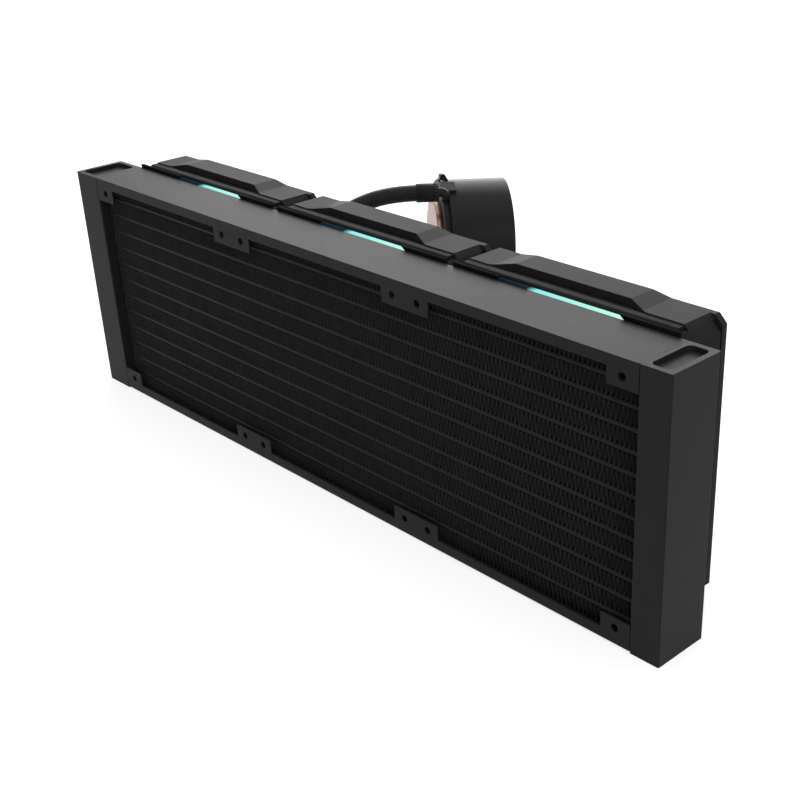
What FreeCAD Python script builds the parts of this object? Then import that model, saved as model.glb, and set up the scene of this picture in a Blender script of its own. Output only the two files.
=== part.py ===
import FreeCAD, Part
import math
import os
import re
import Sketcher

# Closed-loop liquid cooler for a processor: a three-fan radiator standing on its long edge,
# two hoses and a round pump that lies on its side behind it.
# X runs along the radiator, +Y from the bare fin side towards the fans, +Z up.
# The origin is the centre of the middle fan position on the bare front face. Millimetres.

SIZES = {
    # radiator
    "fan_pitch": 120.0,
    "hole_inset": 7.5,
    "rad_depth": 27.0,
    "left_tank_width": 20.0,
    "right_tank_width": 14.0,
    "tank_drop": 0.7,
    "tank_wall": 2.4,
    "tank_corner": 2.4,
    "tank_edge": 0.7,
    "end_recess": 2.1,
    "end_plate": 2.0,
    "braze_gap": 0.05,
    "rail_over": 1.7,
    "rail_sheet": 1.0,
    "flange_height": 4.7,
    "tab_height": 11.7,
    "end_tab": 14.5,
    "pair_tab": 28.0,
    "rail_hole": 1.7,
    "screw_hole": 1.5,
    "core_recess": 5.0,
    "tube_thick": 1.9,
    "tube_wall": 0.4,
    "lowest_tube_gap": 9.3,
    "highest_tube_gap": 11.1,
    "tube_reach": 1.2,
    "fin_inset": 6.5,
    "fin_fold": 12.2,
    "fin_sheet": 0.35,
    # hose ends and hoses
    "port_rise": 18.0,
    "port_bore": 2.5,
    "port_spigot": 3.4,
    "port_flange": 6.6,
    "port_flange_thick": 2.0,
    "barb_radius": 3.9,
    "barb_tail": 0.8,
    "collar_radius": 5.65,
    "collar_length": 9.85,
    "hose_radius": 4.9,
    # fans
    "frame_gap": 0.2,
    "frame_step": 3.5,
    "frame_short": 2.0,
    "fan_depth": 24.5,
    "frame_corner": 3.8,
    "duct_wall": 4.0,
    "screw_room": 2.1,
    "ledge_start": 6.0,
    "ledge_width": 4.0,
    "ledge_proud": 1.7,
    "ledge_round": 1.2,
    "light_start": 1.8,
    "light_width": 3.9,
    "light_half": 32.0,
    "light_slant": 7.5,
    "light_depth": 1.6,
    "light_proud": 0.4,
    "slit": 1.0,
    "slit_depth": 1.2,
    "bezel_thick": 3.0,
    "bezel_corner": 3.6,
    "bezel_left_corner": 1.6,
    "bezel_lip": 1.0,
    "flap_proud": 2.2,
    "flap_raise": 1.4,
    "flap_start": 10.2,
    "flap_notch_deep": 4.8,
    "flap_short": 6.0,
    "flat_from_left": 21.8,
    "flat_from_right": 28.5,
    "flat_slope": 9.0,
    "notch_slope": 11.0,
    "strut_thick": 3.0,
    "strut_width": 4.5,
    "motor_radius": 19.0,
    "motor_plate": 2.4,
    "board_thick": 1.2,
    "board_radius": 16.5,
    "bearing_post": 5.0,
    "bearing_post_deep": 7.5,
    "bearing_radius": 4.0,
    "bearing_bore": 1.53,
    "shaft_radius": 1.5,
    "stator_radius": 15.0,
    "stator_height": 10.0,
    "magnet_thick": 1.2,
    "hub_radius": 19.0,
    "hub_wall": 1.6,
    "hub_start": 4.8,
    "hub_deep": 1.5,
    "hub_boss": 4.0,
    "tip_gap": 1.0,
    "blade_thick": 1.7,
    "blade_start": 5.6,
    "blade_deep": 2.3,
    "screw_shank": 1.45,
    "screw_head": 3.3,
    "screw_head_deep": 2.0,
    "screw_past": 1.6,
    # pump
    "pump_radius": 38.0,
    "pump_x": -149.84,
    "pump_y": 207.73,
    "pump_z": -20.81,
    "pump_turn": 54.7,
    "pump_lean": 2.0,
    "plate_radius": 28.0,
    "plate_thick": 3.6,
    "plate_edge": 0.5,
    "skived_side": 24.0,
    "skived_height": 2.6,
    "skived_gap": 0.9,
    "ring_thick": 2.0,
    "ring_bore": 18.0,
    "groove_width": 2.0,
    "groove_depth": 1.6,
    "seal_inner": 21.0,
    "seal_outer": 23.2,
    "seal_deep": 1.8,
    "plate_screw_circle": 25.8,
    "plate_screw_shank": 1.2,
    "plate_screw_head": 1.9,
    "plate_screw_deep": 1.4,
    "plate_screw_length": 6.6,
    "lug_height": 3.7,
    "lug_tip": 2.6,
    "lug_foot": 4.8,
    "lug_width": 8.0,
    "clip_width": 10.0,
    "clip_length": 8.6,
    "clip_height": 1.8,
    "housing_length": 38.7,
    "housing_wall": 2.4,
    "housing_edge": 1.4,
    "lid_thick": 2.4,
    "lid_inset": 0.4,
    "fit_gap": 0.1,
    "chamber_radius": 34.8,
    "chamber_height": 11.0,
    "chamber_floor": 2.4,
    "chamber_pocket": 15.5,
    "chamber_inlet": 4.0,
    "can_flange": 2.0,
    "can_inner": 8.3,
    "can_wall": 0.9,
    "can_height": 14.0,
    "post_circle": 29.5,
    "post_radius": 2.2,
    "post_height": 16.0,
    "pump_shaft": 1.5,
    "impeller_radius": 14.5,
    "impeller_disc": 1.4,
    "vane_height": 3.4,
    "vane_thick": 1.2,
    "magnet_radius": 7.7,
    "magnet_height": 18.0,
    "running_gap": 0.6,
    "coil_radius": 25.0,
    "coil_height": 12.0,
    "pump_board_radius": 33.5,
    "pump_board_thick": 1.6,
    "elbow_circle": 43.0,
    "elbow_root": 2.7,
    "elbow_bend": 4.4,
    "elbow_lift": 10.7,
    "elbow_nut": 5.6,
    "elbow_nut_from": 0.7,
    "elbow_nut_to": -2.7,
    "elbow_inner": 1.6,
}

TUBE_COUNT = 12

# Sizes that follow from the ones above
LINKED = {
    "core_half": "1.5 * fan_pitch",
    "hole_span": "fan_pitch - 2 * hole_inset",
    "frame_left": "fan_pitch / 2 - frame_gap",
    "frame_right": "fan_pitch / 2 - frame_step",
    "frame_half": "fan_pitch / 2 - frame_short",
    "frame_front": "rad_depth + fan_depth",
    "duct_radius": "frame_half - duct_wall",
    "tip_radius": "duct_radius - tip_gap",
    "ledge_near": "rad_depth + ledge_start",
    "ledge_far": "ledge_near + ledge_width",
    "ledge_top": "frame_half + ledge_proud",
    "light_near": "rad_depth + light_start",
    "light_far": "light_near + light_width",
    "flap_top": "frame_half + flap_proud",
    "flap_near": "rad_depth + flap_start",
    "flap_notch": "flap_near + flap_notch_deep",
    "flap_right": "frame_right - flap_short",
    "bearing_post_top": "frame_front - bearing_post_deep",
    "hub_back": "rad_depth + hub_start",
    "hub_front": "frame_front - hub_deep",
    "blade_back": "rad_depth + blade_start",
    "blade_front": "frame_front - blade_deep",
    "screw_tip": "rad_depth - screw_past",
    "rail_half": "frame_half + rail_over",
    "tank_top": "rail_half",
    "tank_foot": "rail_half + tank_drop",
    "lowest_tube": "rail_half - lowest_tube_gap",
    "tube_pitch": f"(2 * rail_half - lowest_tube_gap - highest_tube_gap) / {TUBE_COUNT - 1}",
}
BLADE_COUNT = 9
STRUT_COUNT = 4
STATOR_SLOTS = 4
VANE_COUNT = 6
SKIVED_SLOTS = 8
PLATE_SCREWS = 6
COIL_SLOTS = 6
POST_COUNT = 3
LUG_ANGLES = (80.0, 200.0, 320.0)
UPPER_ELBOW_ANGLE = 119.3
LOWER_ELBOW_ANGLE = 167.3
CLIP_ANGLES = (106.0, 286.0)
FAN_NAMES = ("left", "middle", "right")

doc = FreeCAD.newDocument("liquid_cooler")
sheet = doc.addObject("Spreadsheet::Sheet", "sizes")
for row, (alias, number) in enumerate(SIZES.items(), start=1):
    sheet.set(f"A{row}", alias.replace("_", " "))
    sheet.set(f"B{row}", str(number))
    sheet.setAlias(f"B{row}", alias)
links = doc.addObject("App::VarSet", "links")
doc.recompute()

pieces = {}
V = FreeCAD.Vector
ALONG_Y = FreeCAD.Rotation(V(1, 0, 0), -90)


def size(alias):
    """The number of this name, from the sheet or from the linked sizes."""
    return float(getattr(links, alias) if alias in LINKED else sheet.get(alias))


def bound(text):
    """An expression that reads each plain name from the sheet or from the linked sizes."""
    def home(word):
        return ("links." if word.group(0) in LINKED else "sizes.") + word.group(0)

    return re.sub(r"\b[a-z][a-z_]*\b", home, text)


for alias in LINKED:
    links.addProperty("App::PropertyFloat", alias)
for alias, text in LINKED.items():
    links.setExpression(alias, bound(text))
doc.recompute()


def keep(node, item):
    """Name a finished sub-part; the name is its file's name too."""
    item.Label = node
    pieces[node] = item
    return item


def block(name, x_span, y_span, z_span):
    """A box between two x, two y and two z expressions."""
    item = doc.addObject("Part::Box", name)
    spans = (x_span, y_span, z_span)
    for side, letter, (low, high) in zip(("Length", "Width", "Height"), "xyz", spans):
        item.setExpression(side, bound(f"({high}) - ({low})"))
        item.setExpression(f".Placement.Base.{letter}", bound(low))
    return item


def rod(name, radius, x, y_span, z):
    """A cylinder along Y."""
    item = doc.addObject("Part::Cylinder", name)
    item.Placement = FreeCAD.Placement(V(0, 0, 0), ALONG_Y)
    item.setExpression("Radius", bound(radius))
    item.setExpression("Height", bound(f"({y_span[1]}) - ({y_span[0]})"))
    item.setExpression(".Placement.Base.x", bound(x))
    item.setExpression(".Placement.Base.y", bound(y_span[0]))
    item.setExpression(".Placement.Base.z", bound(z))
    return item


def fuse(name, *items):
    item = doc.addObject("Part::MultiFuse", name)
    item.Shapes = list(items)
    item.Refine = True
    return item


def cut(name, base, *tools):
    item = doc.addObject("Part::Cut", name)
    item.Base = base
    item.Tool = tools[0] if len(tools) == 1 else fuse(f"{name}_tools", *tools)
    item.Refine = True
    return item


def rounded(name, base, radius, chosen):
    """Fillet the edges of base for which chosen(edge) is true."""
    doc.recompute()
    item = doc.addObject("Part::Fillet", name)
    item.Base = base
    edges = base.Shape.Edges
    item.Edges = [(i + 1, radius, radius) for i, edge in enumerate(edges) if chosen(edge)]
    return item


def upright(edge):
    """True for a straight edge along Z."""
    first, last = edge.Vertexes[0].Point, edge.Vertexes[-1].Point
    return abs(first.x - last.x) < 1e-6 and abs(first.y - last.y) < 1e-6


def plane(body, role):
    return next(f for f in body.Origin.OriginFeatures if f.Role == role)


def outline(body, role, corners, name):
    """A closed sketch of straight sides, each corner held by two expressions."""
    sketch = body.newObject("Sketcher::SketchObject", name)
    sketch.AttachmentSupport = [(plane(body, role), "")]
    sketch.MapMode = "FlatFace"
    count = len(corners)
    ring = [V(math.cos(math.tau * i / count), math.sin(math.tau * i / count), 0) for i in range(count)]
    for i in range(count):
        sketch.addGeometry(Part.LineSegment(ring[i], ring[(i + 1) % count]), False)
    for i in range(count):
        sketch.addConstraint(Sketcher.Constraint("Coincident", i, 2, (i + 1) % count, 1))
    for i, (across, along) in enumerate(corners):
        for kind, text, axis in (("DistanceX", across, -2), ("DistanceY", along, -1)):
            if text == "0":
                sketch.addConstraint(Sketcher.Constraint("PointOnObject", i, 1, axis))
                continue
            start = ring[i].x if kind == "DistanceX" else ring[i].y
            number = sketch.addConstraint(Sketcher.Constraint(kind, -1, 1, i, 1, start))
            sketch.setExpression(f"Constraints[{number}]", bound(text))
    return sketch


def prism(name, role, corners, start, thickness):
    """A pad of a straight-sided outline: up from XY_Plane, or towards +Y from XZ_Plane."""
    body = doc.addObject("PartDesign::Body", name)
    sketch = outline(body, role, corners, f"{name}_outline")
    pad = body.newObject("PartDesign::Pad", f"{name}_pad")
    pad.Profile = sketch
    pad.Reversed = role == "XZ_Plane"
    pad.setExpression("Length", bound(thickness))
    body.setExpression(f".Placement.Base.{'y' if role == 'XZ_Plane' else 'z'}", bound(start))
    return body


def turned(name, profile):
    """A full revolution of (radius, height) corners about the body's own Z axis."""
    body = doc.addObject("PartDesign::Body", name)
    sketch = outline(body, "XZ_Plane", profile, f"{name}_profile")
    turn = body.newObject("PartDesign::Revolution", f"{name}_turn")
    turn.Profile = sketch
    turn.ReferenceAxis = (sketch, ["V_Axis"])
    turn.Angle = 360.0
    return body


def solid(node, shape, placement=None):
    """A finished shape as a document object."""
    item = doc.addObject("Part::Feature", f"{node}_shape")
    item.Shape = shape
    if placement is not None:
        item.Placement = placement
    return item


def turned_along_y(name, profile, x="0", z="0"):
    """A turned piece whose heights are Y values, centred on x and z."""
    body = turned(name, profile)
    body.Placement = FreeCAD.Placement(V(0, 0, 0), ALONG_Y)
    body.setExpression(".Placement.Base.x", bound(x))
    body.setExpression(".Placement.Base.z", bound(z))
    return body


# Radiator tanks: square tubes with rounded insides, slotted for the coolant tubes
def tube_level(index):
    return f"(-lowest_tube + {index} * tube_pitch)"


def tank(side, x_low, x_high, slot_span, extra_cuts):
    outer = block(f"{side}_tank_outer", (x_low, x_high), ("0", "rad_depth"), ("-tank_foot", "tank_top"))
    softened = rounded(f"{side}_tank_soft", outer, size("tank_edge"), upright)
    inner = block(
        f"{side}_tank_inner",
        (f"{x_low} + tank_wall", f"{x_high} - tank_wall"),
        ("tank_wall", "rad_depth - tank_wall"),
        ("-tank_foot - 1", "tank_top + 1"),
    )
    cavity = rounded(f"{side}_tank_cavity", inner, size("tank_corner"), upright)
    slots = [
        block(
            f"{side}_tank_slot_{index}",
            slot_span,
            ("core_recess - braze_gap", "rad_depth - core_recess + braze_gap"),
            (
                f"{tube_level(index)} - tube_thick / 2 - braze_gap",
                f"{tube_level(index)} + tube_thick / 2 + braze_gap",
            ),
        )
        for index in range(TUBE_COUNT)
    ]
    return keep(f"{side}_tank", cut(f"{side}_tank_cut", softened, cavity, *slots, *extra_cuts))


PORT_X = "(-core_half - left_tank_width / 2)"
BACK_WALL = ("rad_depth - tank_wall - 1", "rad_depth + 1")
port_holes = [
    rod(f"port_hole_{i}", "port_spigot + braze_gap", PORT_X, BACK_WALL, z)
    for i, z in enumerate(("port_rise", "-port_rise"))
]
LEFT_SPAN = ("-core_half - left_tank_width", "-core_half")
RIGHT_SPAN = ("core_half", "core_half + right_tank_width")
tank("left", *LEFT_SPAN, ("-core_half - tank_wall - 1", "-core_half + 1"), port_holes)
tank("right", *RIGHT_SPAN, ("core_half - 1", "core_half + tank_wall + 1"), ())


def end_plate(name, span, z_span):
    """A plate that closes a tank a little inside its rim."""
    plate = block(
        name,
        (f"{span[0]} + tank_wall + braze_gap", f"{span[1]} - tank_wall - braze_gap"),
        ("tank_wall + braze_gap", "rad_depth - tank_wall - braze_gap"),
        z_span,
    )
    return rounded(f"{name}_rounded", plate, size("tank_corner"), upright)


TOP_PLATE = ("tank_top - end_recess - end_plate", "tank_top - end_recess")
FOOT_PLATE = ("-tank_foot + end_recess", "-tank_foot + end_recess + end_plate")
keep(
    "tank_end_plates",
    fuse(
        "tank_end_plates_group",
        end_plate("left_top_plate", LEFT_SPAN, TOP_PLATE),
        end_plate("left_foot_plate", LEFT_SPAN, FOOT_PLATE),
        end_plate("right_top_plate", RIGHT_SPAN, TOP_PLATE),
        end_plate("right_foot_plate", RIGHT_SPAN, FOOT_PLATE),
    ),
)


# Side rails: folded channels over the core, with drilled tabs for the fan and case screws
def rail(side, sign):
    def heights(outer, inner):
        low, high = (inner, outer) if sign > 0 else (f"-({outer})", f"-({inner})")
        return low, high

    whole = ("-core_half", "core_half")
    parts = [block(f"{side}_web", whole, ("0", "rad_depth"), heights("rail_half", "rail_half - rail_sheet"))]
    faces = {"front": ("0", "rail_sheet"), "back": ("rad_depth - rail_sheet", "rad_depth")}
    for face, y_span in faces.items():
        flange = heights("rail_half", "rail_half - flange_height")
        tab = heights("rail_half", "rail_half - tab_height")
        parts.append(block(f"{side}_{face}_flange", whole, y_span, flange))
        spans = [
            ("-core_half", "-core_half + end_tab"),
            ("-fan_pitch / 2 - pair_tab / 2", "-fan_pitch / 2 + pair_tab / 2"),
            ("fan_pitch / 2 - pair_tab / 2", "fan_pitch / 2 + pair_tab / 2"),
            ("core_half - end_tab", "core_half"),
        ]
        for index, span in enumerate(spans):
            parts.append(block(f"{side}_{face}_tab_{index}", span, y_span, tab))
    level = "hole_span / 2" if sign > 0 else "-hole_span / 2"
    holes = []
    depths = {
        "front": ("rail_hole", ("-1", "rail_sheet + 1")),
        "back": ("screw_hole", ("rad_depth - rail_sheet - 1", "rad_depth + 1")),
    }
    for fan in (-1, 0, 1):
        for end in (-1, 1):
            x = f"{fan} * fan_pitch + ({end}) * hole_span / 2"
            for face, (radius, y_span) in depths.items():
                holes.append(rod(f"{side}_{face}_hole_{fan}_{end}", radius, x, y_span, level))
    return keep(f"{side}_rail", cut(f"{side}_rail_cut", fuse(f"{side}_rail_sheet", *parts), *holes))


rail("top", 1)
rail("bottom", -1)


# Coolant tubes: flat tubes with round noses that run into both tanks
def flat_ring(half_depth, half_thick, nose):
    """Closed wire of a flat section in the YZ plane, round or square at its noses."""
    near, far = -half_depth, half_depth
    if not nose:
        corners = [V(0, y, z) for y, z in ((near, -1), (far, -1), (far, 1), (near, 1))]
        corners = [V(0, corner.y, corner.z * half_thick) for corner in corners]
        return Part.makePolygon(corners + corners[:1])
    low_near, low_far = V(0, near + nose, -half_thick), V(0, far - nose, -half_thick)
    high_near, high_far = V(0, near + nose, half_thick), V(0, far - nose, half_thick)
    return Part.Wire([
        Part.LineSegment(low_near, low_far).toShape(),
        Part.Arc(low_far, V(0, far, 0), high_far).toShape(),
        Part.LineSegment(high_far, high_near).toShape(),
        Part.Arc(high_near, V(0, near, 0), low_near).toShape(),
    ])


half_depth = size("rad_depth") / 2 - size("core_recess")
half_thick = size("tube_thick") / 2
outer_ring = flat_ring(half_depth, half_thick, half_thick)
inner_ring = flat_ring(half_depth - half_thick, half_thick - size("tube_wall"), 0)
tube_length = 2 * (size("core_half") + size("tank_wall") + size("tube_reach"))
tube_section = Part.Face(outer_ring).cut(Part.Face(inner_ring))
first_tube = tube_section.extrude(V(tube_length, 0, 0))
tubes = []
for index in range(TUBE_COUNT):
    level = -size("lowest_tube") + index * size("tube_pitch")
    tubes.append(first_tube.translated(V(-tube_length / 2, size("rad_depth") / 2, level)))
keep("coolant_tubes", solid("coolant_tubes", Part.makeCompound(tubes)))


# Fin strips: one folded strip between each pair of tubes and under each rail
def fin_strip(low, high):
    half = size("core_half") - size("fin_inset")
    folds = max(2, round(2 * half / size("fin_fold")))
    step = half / folds
    sheet_rise = size("fin_sheet") * math.hypot(step, high - low) / step
    under = [V(-half + i * step, 0, low if i % 2 == 0 else high - sheet_rise) for i in range(2 * folds + 1)]
    over = [point + V(0, 0, sheet_rise) for point in reversed(under)]
    face = Part.Face(Part.makePolygon(under + over + under[:1]))
    near = size("core_recess") + 0.3
    strip = face.extrude(V(0, size("rad_depth") - 2 * near, 0))
    return strip.translated(V(0, near, 0))


rail_inside = size("rail_half") - size("rail_sheet")
tube_levels = [-size("lowest_tube") + i * size("tube_pitch") for i in range(TUBE_COUNT)]
lows = [-rail_inside] + [level + half_thick for level in tube_levels]
highs = [level - half_thick for level in tube_levels] + [rail_inside]
keep("fin_strips", solid("fin_strips", Part.makeCompound([fin_strip(a, b) for a, b in zip(lows, highs)])))


# Tank barbs and hose collars at the back of the left tank
FLANGE_END = "rad_depth + port_flange_thick"
COLLAR_END = "rad_depth + port_flange_thick + collar_length"
BARB = [
    ("port_bore", "rad_depth - tank_wall"),
    ("port_spigot", "rad_depth - tank_wall"),
    ("port_spigot", "rad_depth"),
    ("port_flange", "rad_depth"),
    ("port_flange", FLANGE_END),
    ("barb_radius - 0.5", FLANGE_END),
    ("barb_radius - 0.5", f"{COLLAR_END} - barb_tail - 4.5"),
    ("barb_radius", f"{COLLAR_END} - barb_tail - 4.5"),
    ("barb_radius - 0.5", f"{COLLAR_END} - barb_tail"),
    ("port_bore", f"{COLLAR_END} - barb_tail"),
]
COLLAR = [
    ("barb_radius + fit_gap", FLANGE_END),
    ("collar_radius", FLANGE_END),
    ("collar_radius", f"{COLLAR_END} - 0.4"),
    ("collar_radius - 0.4", COLLAR_END),
    ("0", COLLAR_END),
    ("0", f"{COLLAR_END} - barb_tail + fit_gap"),
    ("barb_radius + fit_gap", f"{COLLAR_END} - barb_tail + fit_gap"),
]
for side, z in (("upper", "port_rise"), ("lower", "-port_rise")):
    keep(f"{side}_tank_barb", turned_along_y(f"{side}_tank_barb_body", BARB, PORT_X, z))
    keep(f"{side}_tank_collar", turned_along_y(f"{side}_tank_collar_body", COLLAR, PORT_X, z))


# Fans
def fan_frame(name, x):
    """Square frame with a round duct, side ledges, light grooves, struts and a motor seat."""
    body = prism(
        f"{name}_frame_block", "XZ_Plane",
        [
            ("-frame_left", "-frame_half"), ("frame_right - frame_corner", "-frame_half"),
            ("frame_right", "-frame_half + frame_corner"), ("frame_right", "frame_half - frame_corner"),
            ("frame_right - frame_corner", "frame_half"), ("-frame_left", "frame_half"),
        ],
        "rad_depth", "frame_front - rad_depth",
    )
    body.setExpression(".Placement.Base.x", bound(x))
    ledges, grooves = [], []
    for side, sign in (("top", 1), ("foot", -1)):
        heights = ("frame_half - 1", "ledge_top") if sign > 0 else ("-ledge_top", "-frame_half + 1")
        bar = block(f"{name}_{side}_ledge_bar", (f"{x} - frame_left", f"{x} + flap_right"),
                    ("ledge_near", "ledge_far"), heights)
        corner = V(0, size("ledge_near"), sign * size("ledge_top"))

        def outer_edge(edge, corner=corner):
            ends = [vertex.Point for vertex in edge.Vertexes]
            return all(abs(end.z - corner.z) < 1e-6 and abs(end.y - corner.y) < 1e-6 for end in ends)

        ledges.append(rounded(f"{name}_{side}_ledge", bar, size("ledge_round"), outer_edge))
        grooves.append(light_bar(f"{name}_{side}_groove", x, sign, "fit_gap", "frame_half + 1"))
    duct = rod(f"{name}_duct", "duct_radius", x, ("rad_depth - 1", "frame_front + 1"), "0")
    holes = [
        rod(f"{name}_screw_room_{h}_{v}", "screw_room", f"{x} + ({h}) * hole_span / 2",
            ("rad_depth - 1", "frame_front + 1"), f"({v}) * hole_span / 2")
        for h in (-1, 1)
        for v in (-1, 1)
    ]
    shell = cut(f"{name}_frame_shell", fuse(f"{name}_frame_blank", body, *ledges), duct, *holes, *grooves)
    struts = [strut(f"{name}_strut_{i}", x, 45.0 + 360.0 / STRUT_COUNT * i) for i in range(STRUT_COUNT)]
    seat = turned_along_y(
        f"{name}_motor_seat",
        [
            ("bearing_radius + 0.02", "rad_depth + 0.4"), ("motor_radius", "rad_depth + 0.4"),
            ("motor_radius", "rad_depth + 0.4 + motor_plate"),
            ("bearing_post", "rad_depth + 0.4 + motor_plate"),
            ("bearing_post", "bearing_post_top"), ("bearing_radius + 0.02", "bearing_post_top"),
        ],
        x,
    )
    spider = cut(f"{name}_spider", fuse(f"{name}_spider_blank", *struts),
                 rod(f"{name}_spider_core", "motor_radius - 1", x, ("rad_depth - 1", "frame_front"), "0"))
    trimmed = doc.addObject("Part::Common", f"{name}_spider_trimmed")
    trimmed.Base = spider
    trimmed.Tool = rod(f"{name}_spider_rim", "duct_radius + 0.6", x, ("rad_depth", "frame_front"), "0")
    return keep(f"{name}_fan_frame", fuse(f"{name}_frame_whole", shell, trimmed, seat))


def strut(name, x, angle):
    """A straight arm from the motor seat out to the duct wall."""
    item = doc.addObject("Part::Box", name)
    item.setExpression("Length", bound("duct_radius"))
    item.setExpression("Width", bound("strut_thick"))
    item.setExpression("Height", bound("strut_width"))
    width = size("strut_width") / 2
    turn = FreeCAD.Rotation(V(0, 1, 0), angle)
    item.Placement = FreeCAD.Placement(turn.multVec(V(size("motor_radius") / 2, 0, -width)), turn)
    item.setExpression(".Placement.Base.y", bound("rad_depth + 0.4"))
    shift = turn.multVec(V(size("motor_radius") / 2, 0, -width))
    item.setExpression(".Placement.Base.x", bound(f"{x} + ({shift.x:.6f})"))
    return item


def light_bar(name, x, sign, room, top):
    """A flat bar with slanted ends that lies in the frame's side beside the radiator."""
    body = prism(
        name, "XY_Plane",
        [
            (f"-light_half - {room}", f"light_near - {room}"),
            (f"light_half + {room}", f"light_near - {room}"),
            (f"light_half - light_slant + {room}", f"light_far + {room}"),
            (f"-light_half + light_slant - {room}", f"light_far + {room}"),
        ],
        f"frame_half - light_depth - {room}" if sign > 0 else f"-({top})",
        f"({top}) - (frame_half - light_depth - {room})",
    )
    body.setExpression(".Placement.Base.x", bound(x))
    return body


FLAT_LEFT = "(-frame_left + flat_from_left)"
FLAT_RIGHT = "(flap_right - flat_from_right)"


def fan_bezel(name, x):
    """Outer plate with a round mouth, carried on a narrower neck, and two side flaps."""
    plate = prism(
        f"{name}_bezel_plate", "XZ_Plane",
        [
            ("-frame_left + bezel_left_corner", "-flap_top"), ("frame_right - bezel_corner", "-flap_top"),
            ("frame_right", "-flap_top + bezel_corner"), ("frame_right", "flap_top - bezel_corner"),
            ("frame_right - bezel_corner", "flap_top"), ("-frame_left + bezel_left_corner", "flap_top"),
            ("-frame_left", "flap_top - bezel_left_corner"), ("-frame_left", "-flap_top + bezel_left_corner"),
        ],
        "frame_front + slit", "bezel_thick",
    )
    neck = prism(
        f"{name}_bezel_neck", "XZ_Plane",
        [
            ("-frame_left + slit_depth", "-frame_half"),
            ("frame_right - frame_corner - slit_depth", "-frame_half"),
            ("frame_right - slit_depth", "-frame_half + frame_corner"),
            ("frame_right - slit_depth", "frame_half - frame_corner"),
            ("frame_right - frame_corner - slit_depth", "frame_half"),
            ("-frame_left + slit_depth", "frame_half"),
        ],
        "frame_front", "slit",
    )
    top = prism(
        f"{name}_top_flap", "XZ_Plane",
        [
            ("-frame_left", "frame_half"), ("flap_right + flap_top - frame_half", "frame_half"),
            ("flap_right", "flap_top"), (f"{FLAT_RIGHT} + flat_slope", "flap_top"),
            (FLAT_RIGHT, "flap_top + flap_raise"), (FLAT_LEFT, "flap_top + flap_raise"),
            (f"{FLAT_LEFT} - flat_slope", "flap_top"), ("-frame_left", "flap_top"),
        ],
        "flap_near", "frame_front + slit + bezel_thick - flap_near",
    )
    foot = prism(
        f"{name}_foot_flap", "XZ_Plane",
        [
            ("-frame_left", "-frame_half"), ("-frame_left", "-flap_top"), ("flap_right", "-flap_top"),
            ("flap_right + flap_top - frame_half", "-frame_half"),
        ],
        "flap_near", "frame_front + slit + bezel_thick - flap_near",
    )
    notch = prism(
        f"{name}_flap_notch", "XY_Plane",
        [
            (f"{FLAT_LEFT} - notch_slope", "flap_near"), (f"{FLAT_LEFT} - notch_slope + 1", "flap_near - 1"),
            (f"{FLAT_RIGHT} + notch_slope - 1", "flap_near - 1"),
            (f"{FLAT_RIGHT} + notch_slope", "flap_near"),
            (FLAT_RIGHT, "flap_notch"), (FLAT_LEFT, "flap_notch"),
        ],
        "-flap_top - flap_raise - 1", "2 * flap_top + 2 * flap_raise + 2",
    )
    for item in (plate, neck, top, foot, notch):
        item.setExpression(".Placement.Base.x", bound(x))
    mouth = turned_along_y(
        f"{name}_mouth",
        [
            ("0", "frame_front - 1"), ("duct_radius", "frame_front - 1"),
            ("duct_radius", "frame_front + slit + bezel_thick - bezel_lip"),
            ("duct_radius + bezel_lip + 1", "frame_front + slit + bezel_thick + 1"),
            ("0", "frame_front + slit + bezel_thick + 1"),
        ],
        x,
    )
    holes = []
    for h in (-1, 1):
        for v in (-1, 1):
            where = (f"{x} + ({h}) * hole_span / 2", f"({v}) * hole_span / 2")
            face = "frame_front + slit + bezel_thick"
            holes.append(rod(f"{name}_bezel_hole_{h}_{v}", "screw_room", where[0],
                             ("frame_front - 1", f"{face} + 1"), where[1]))
            holes.append(rod(f"{name}_bezel_sink_{h}_{v}", "screw_head + fit_gap", where[0],
                             (f"{face} - screw_head_deep - 0.2", f"{face} + 1"), where[1]))
    whole = fuse(f"{name}_bezel_whole", plate, neck, top, foot)
    return keep(f"{name}_fan_bezel", cut(f"{name}_bezel_cut", whole, mouth, notch, *holes))


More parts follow.
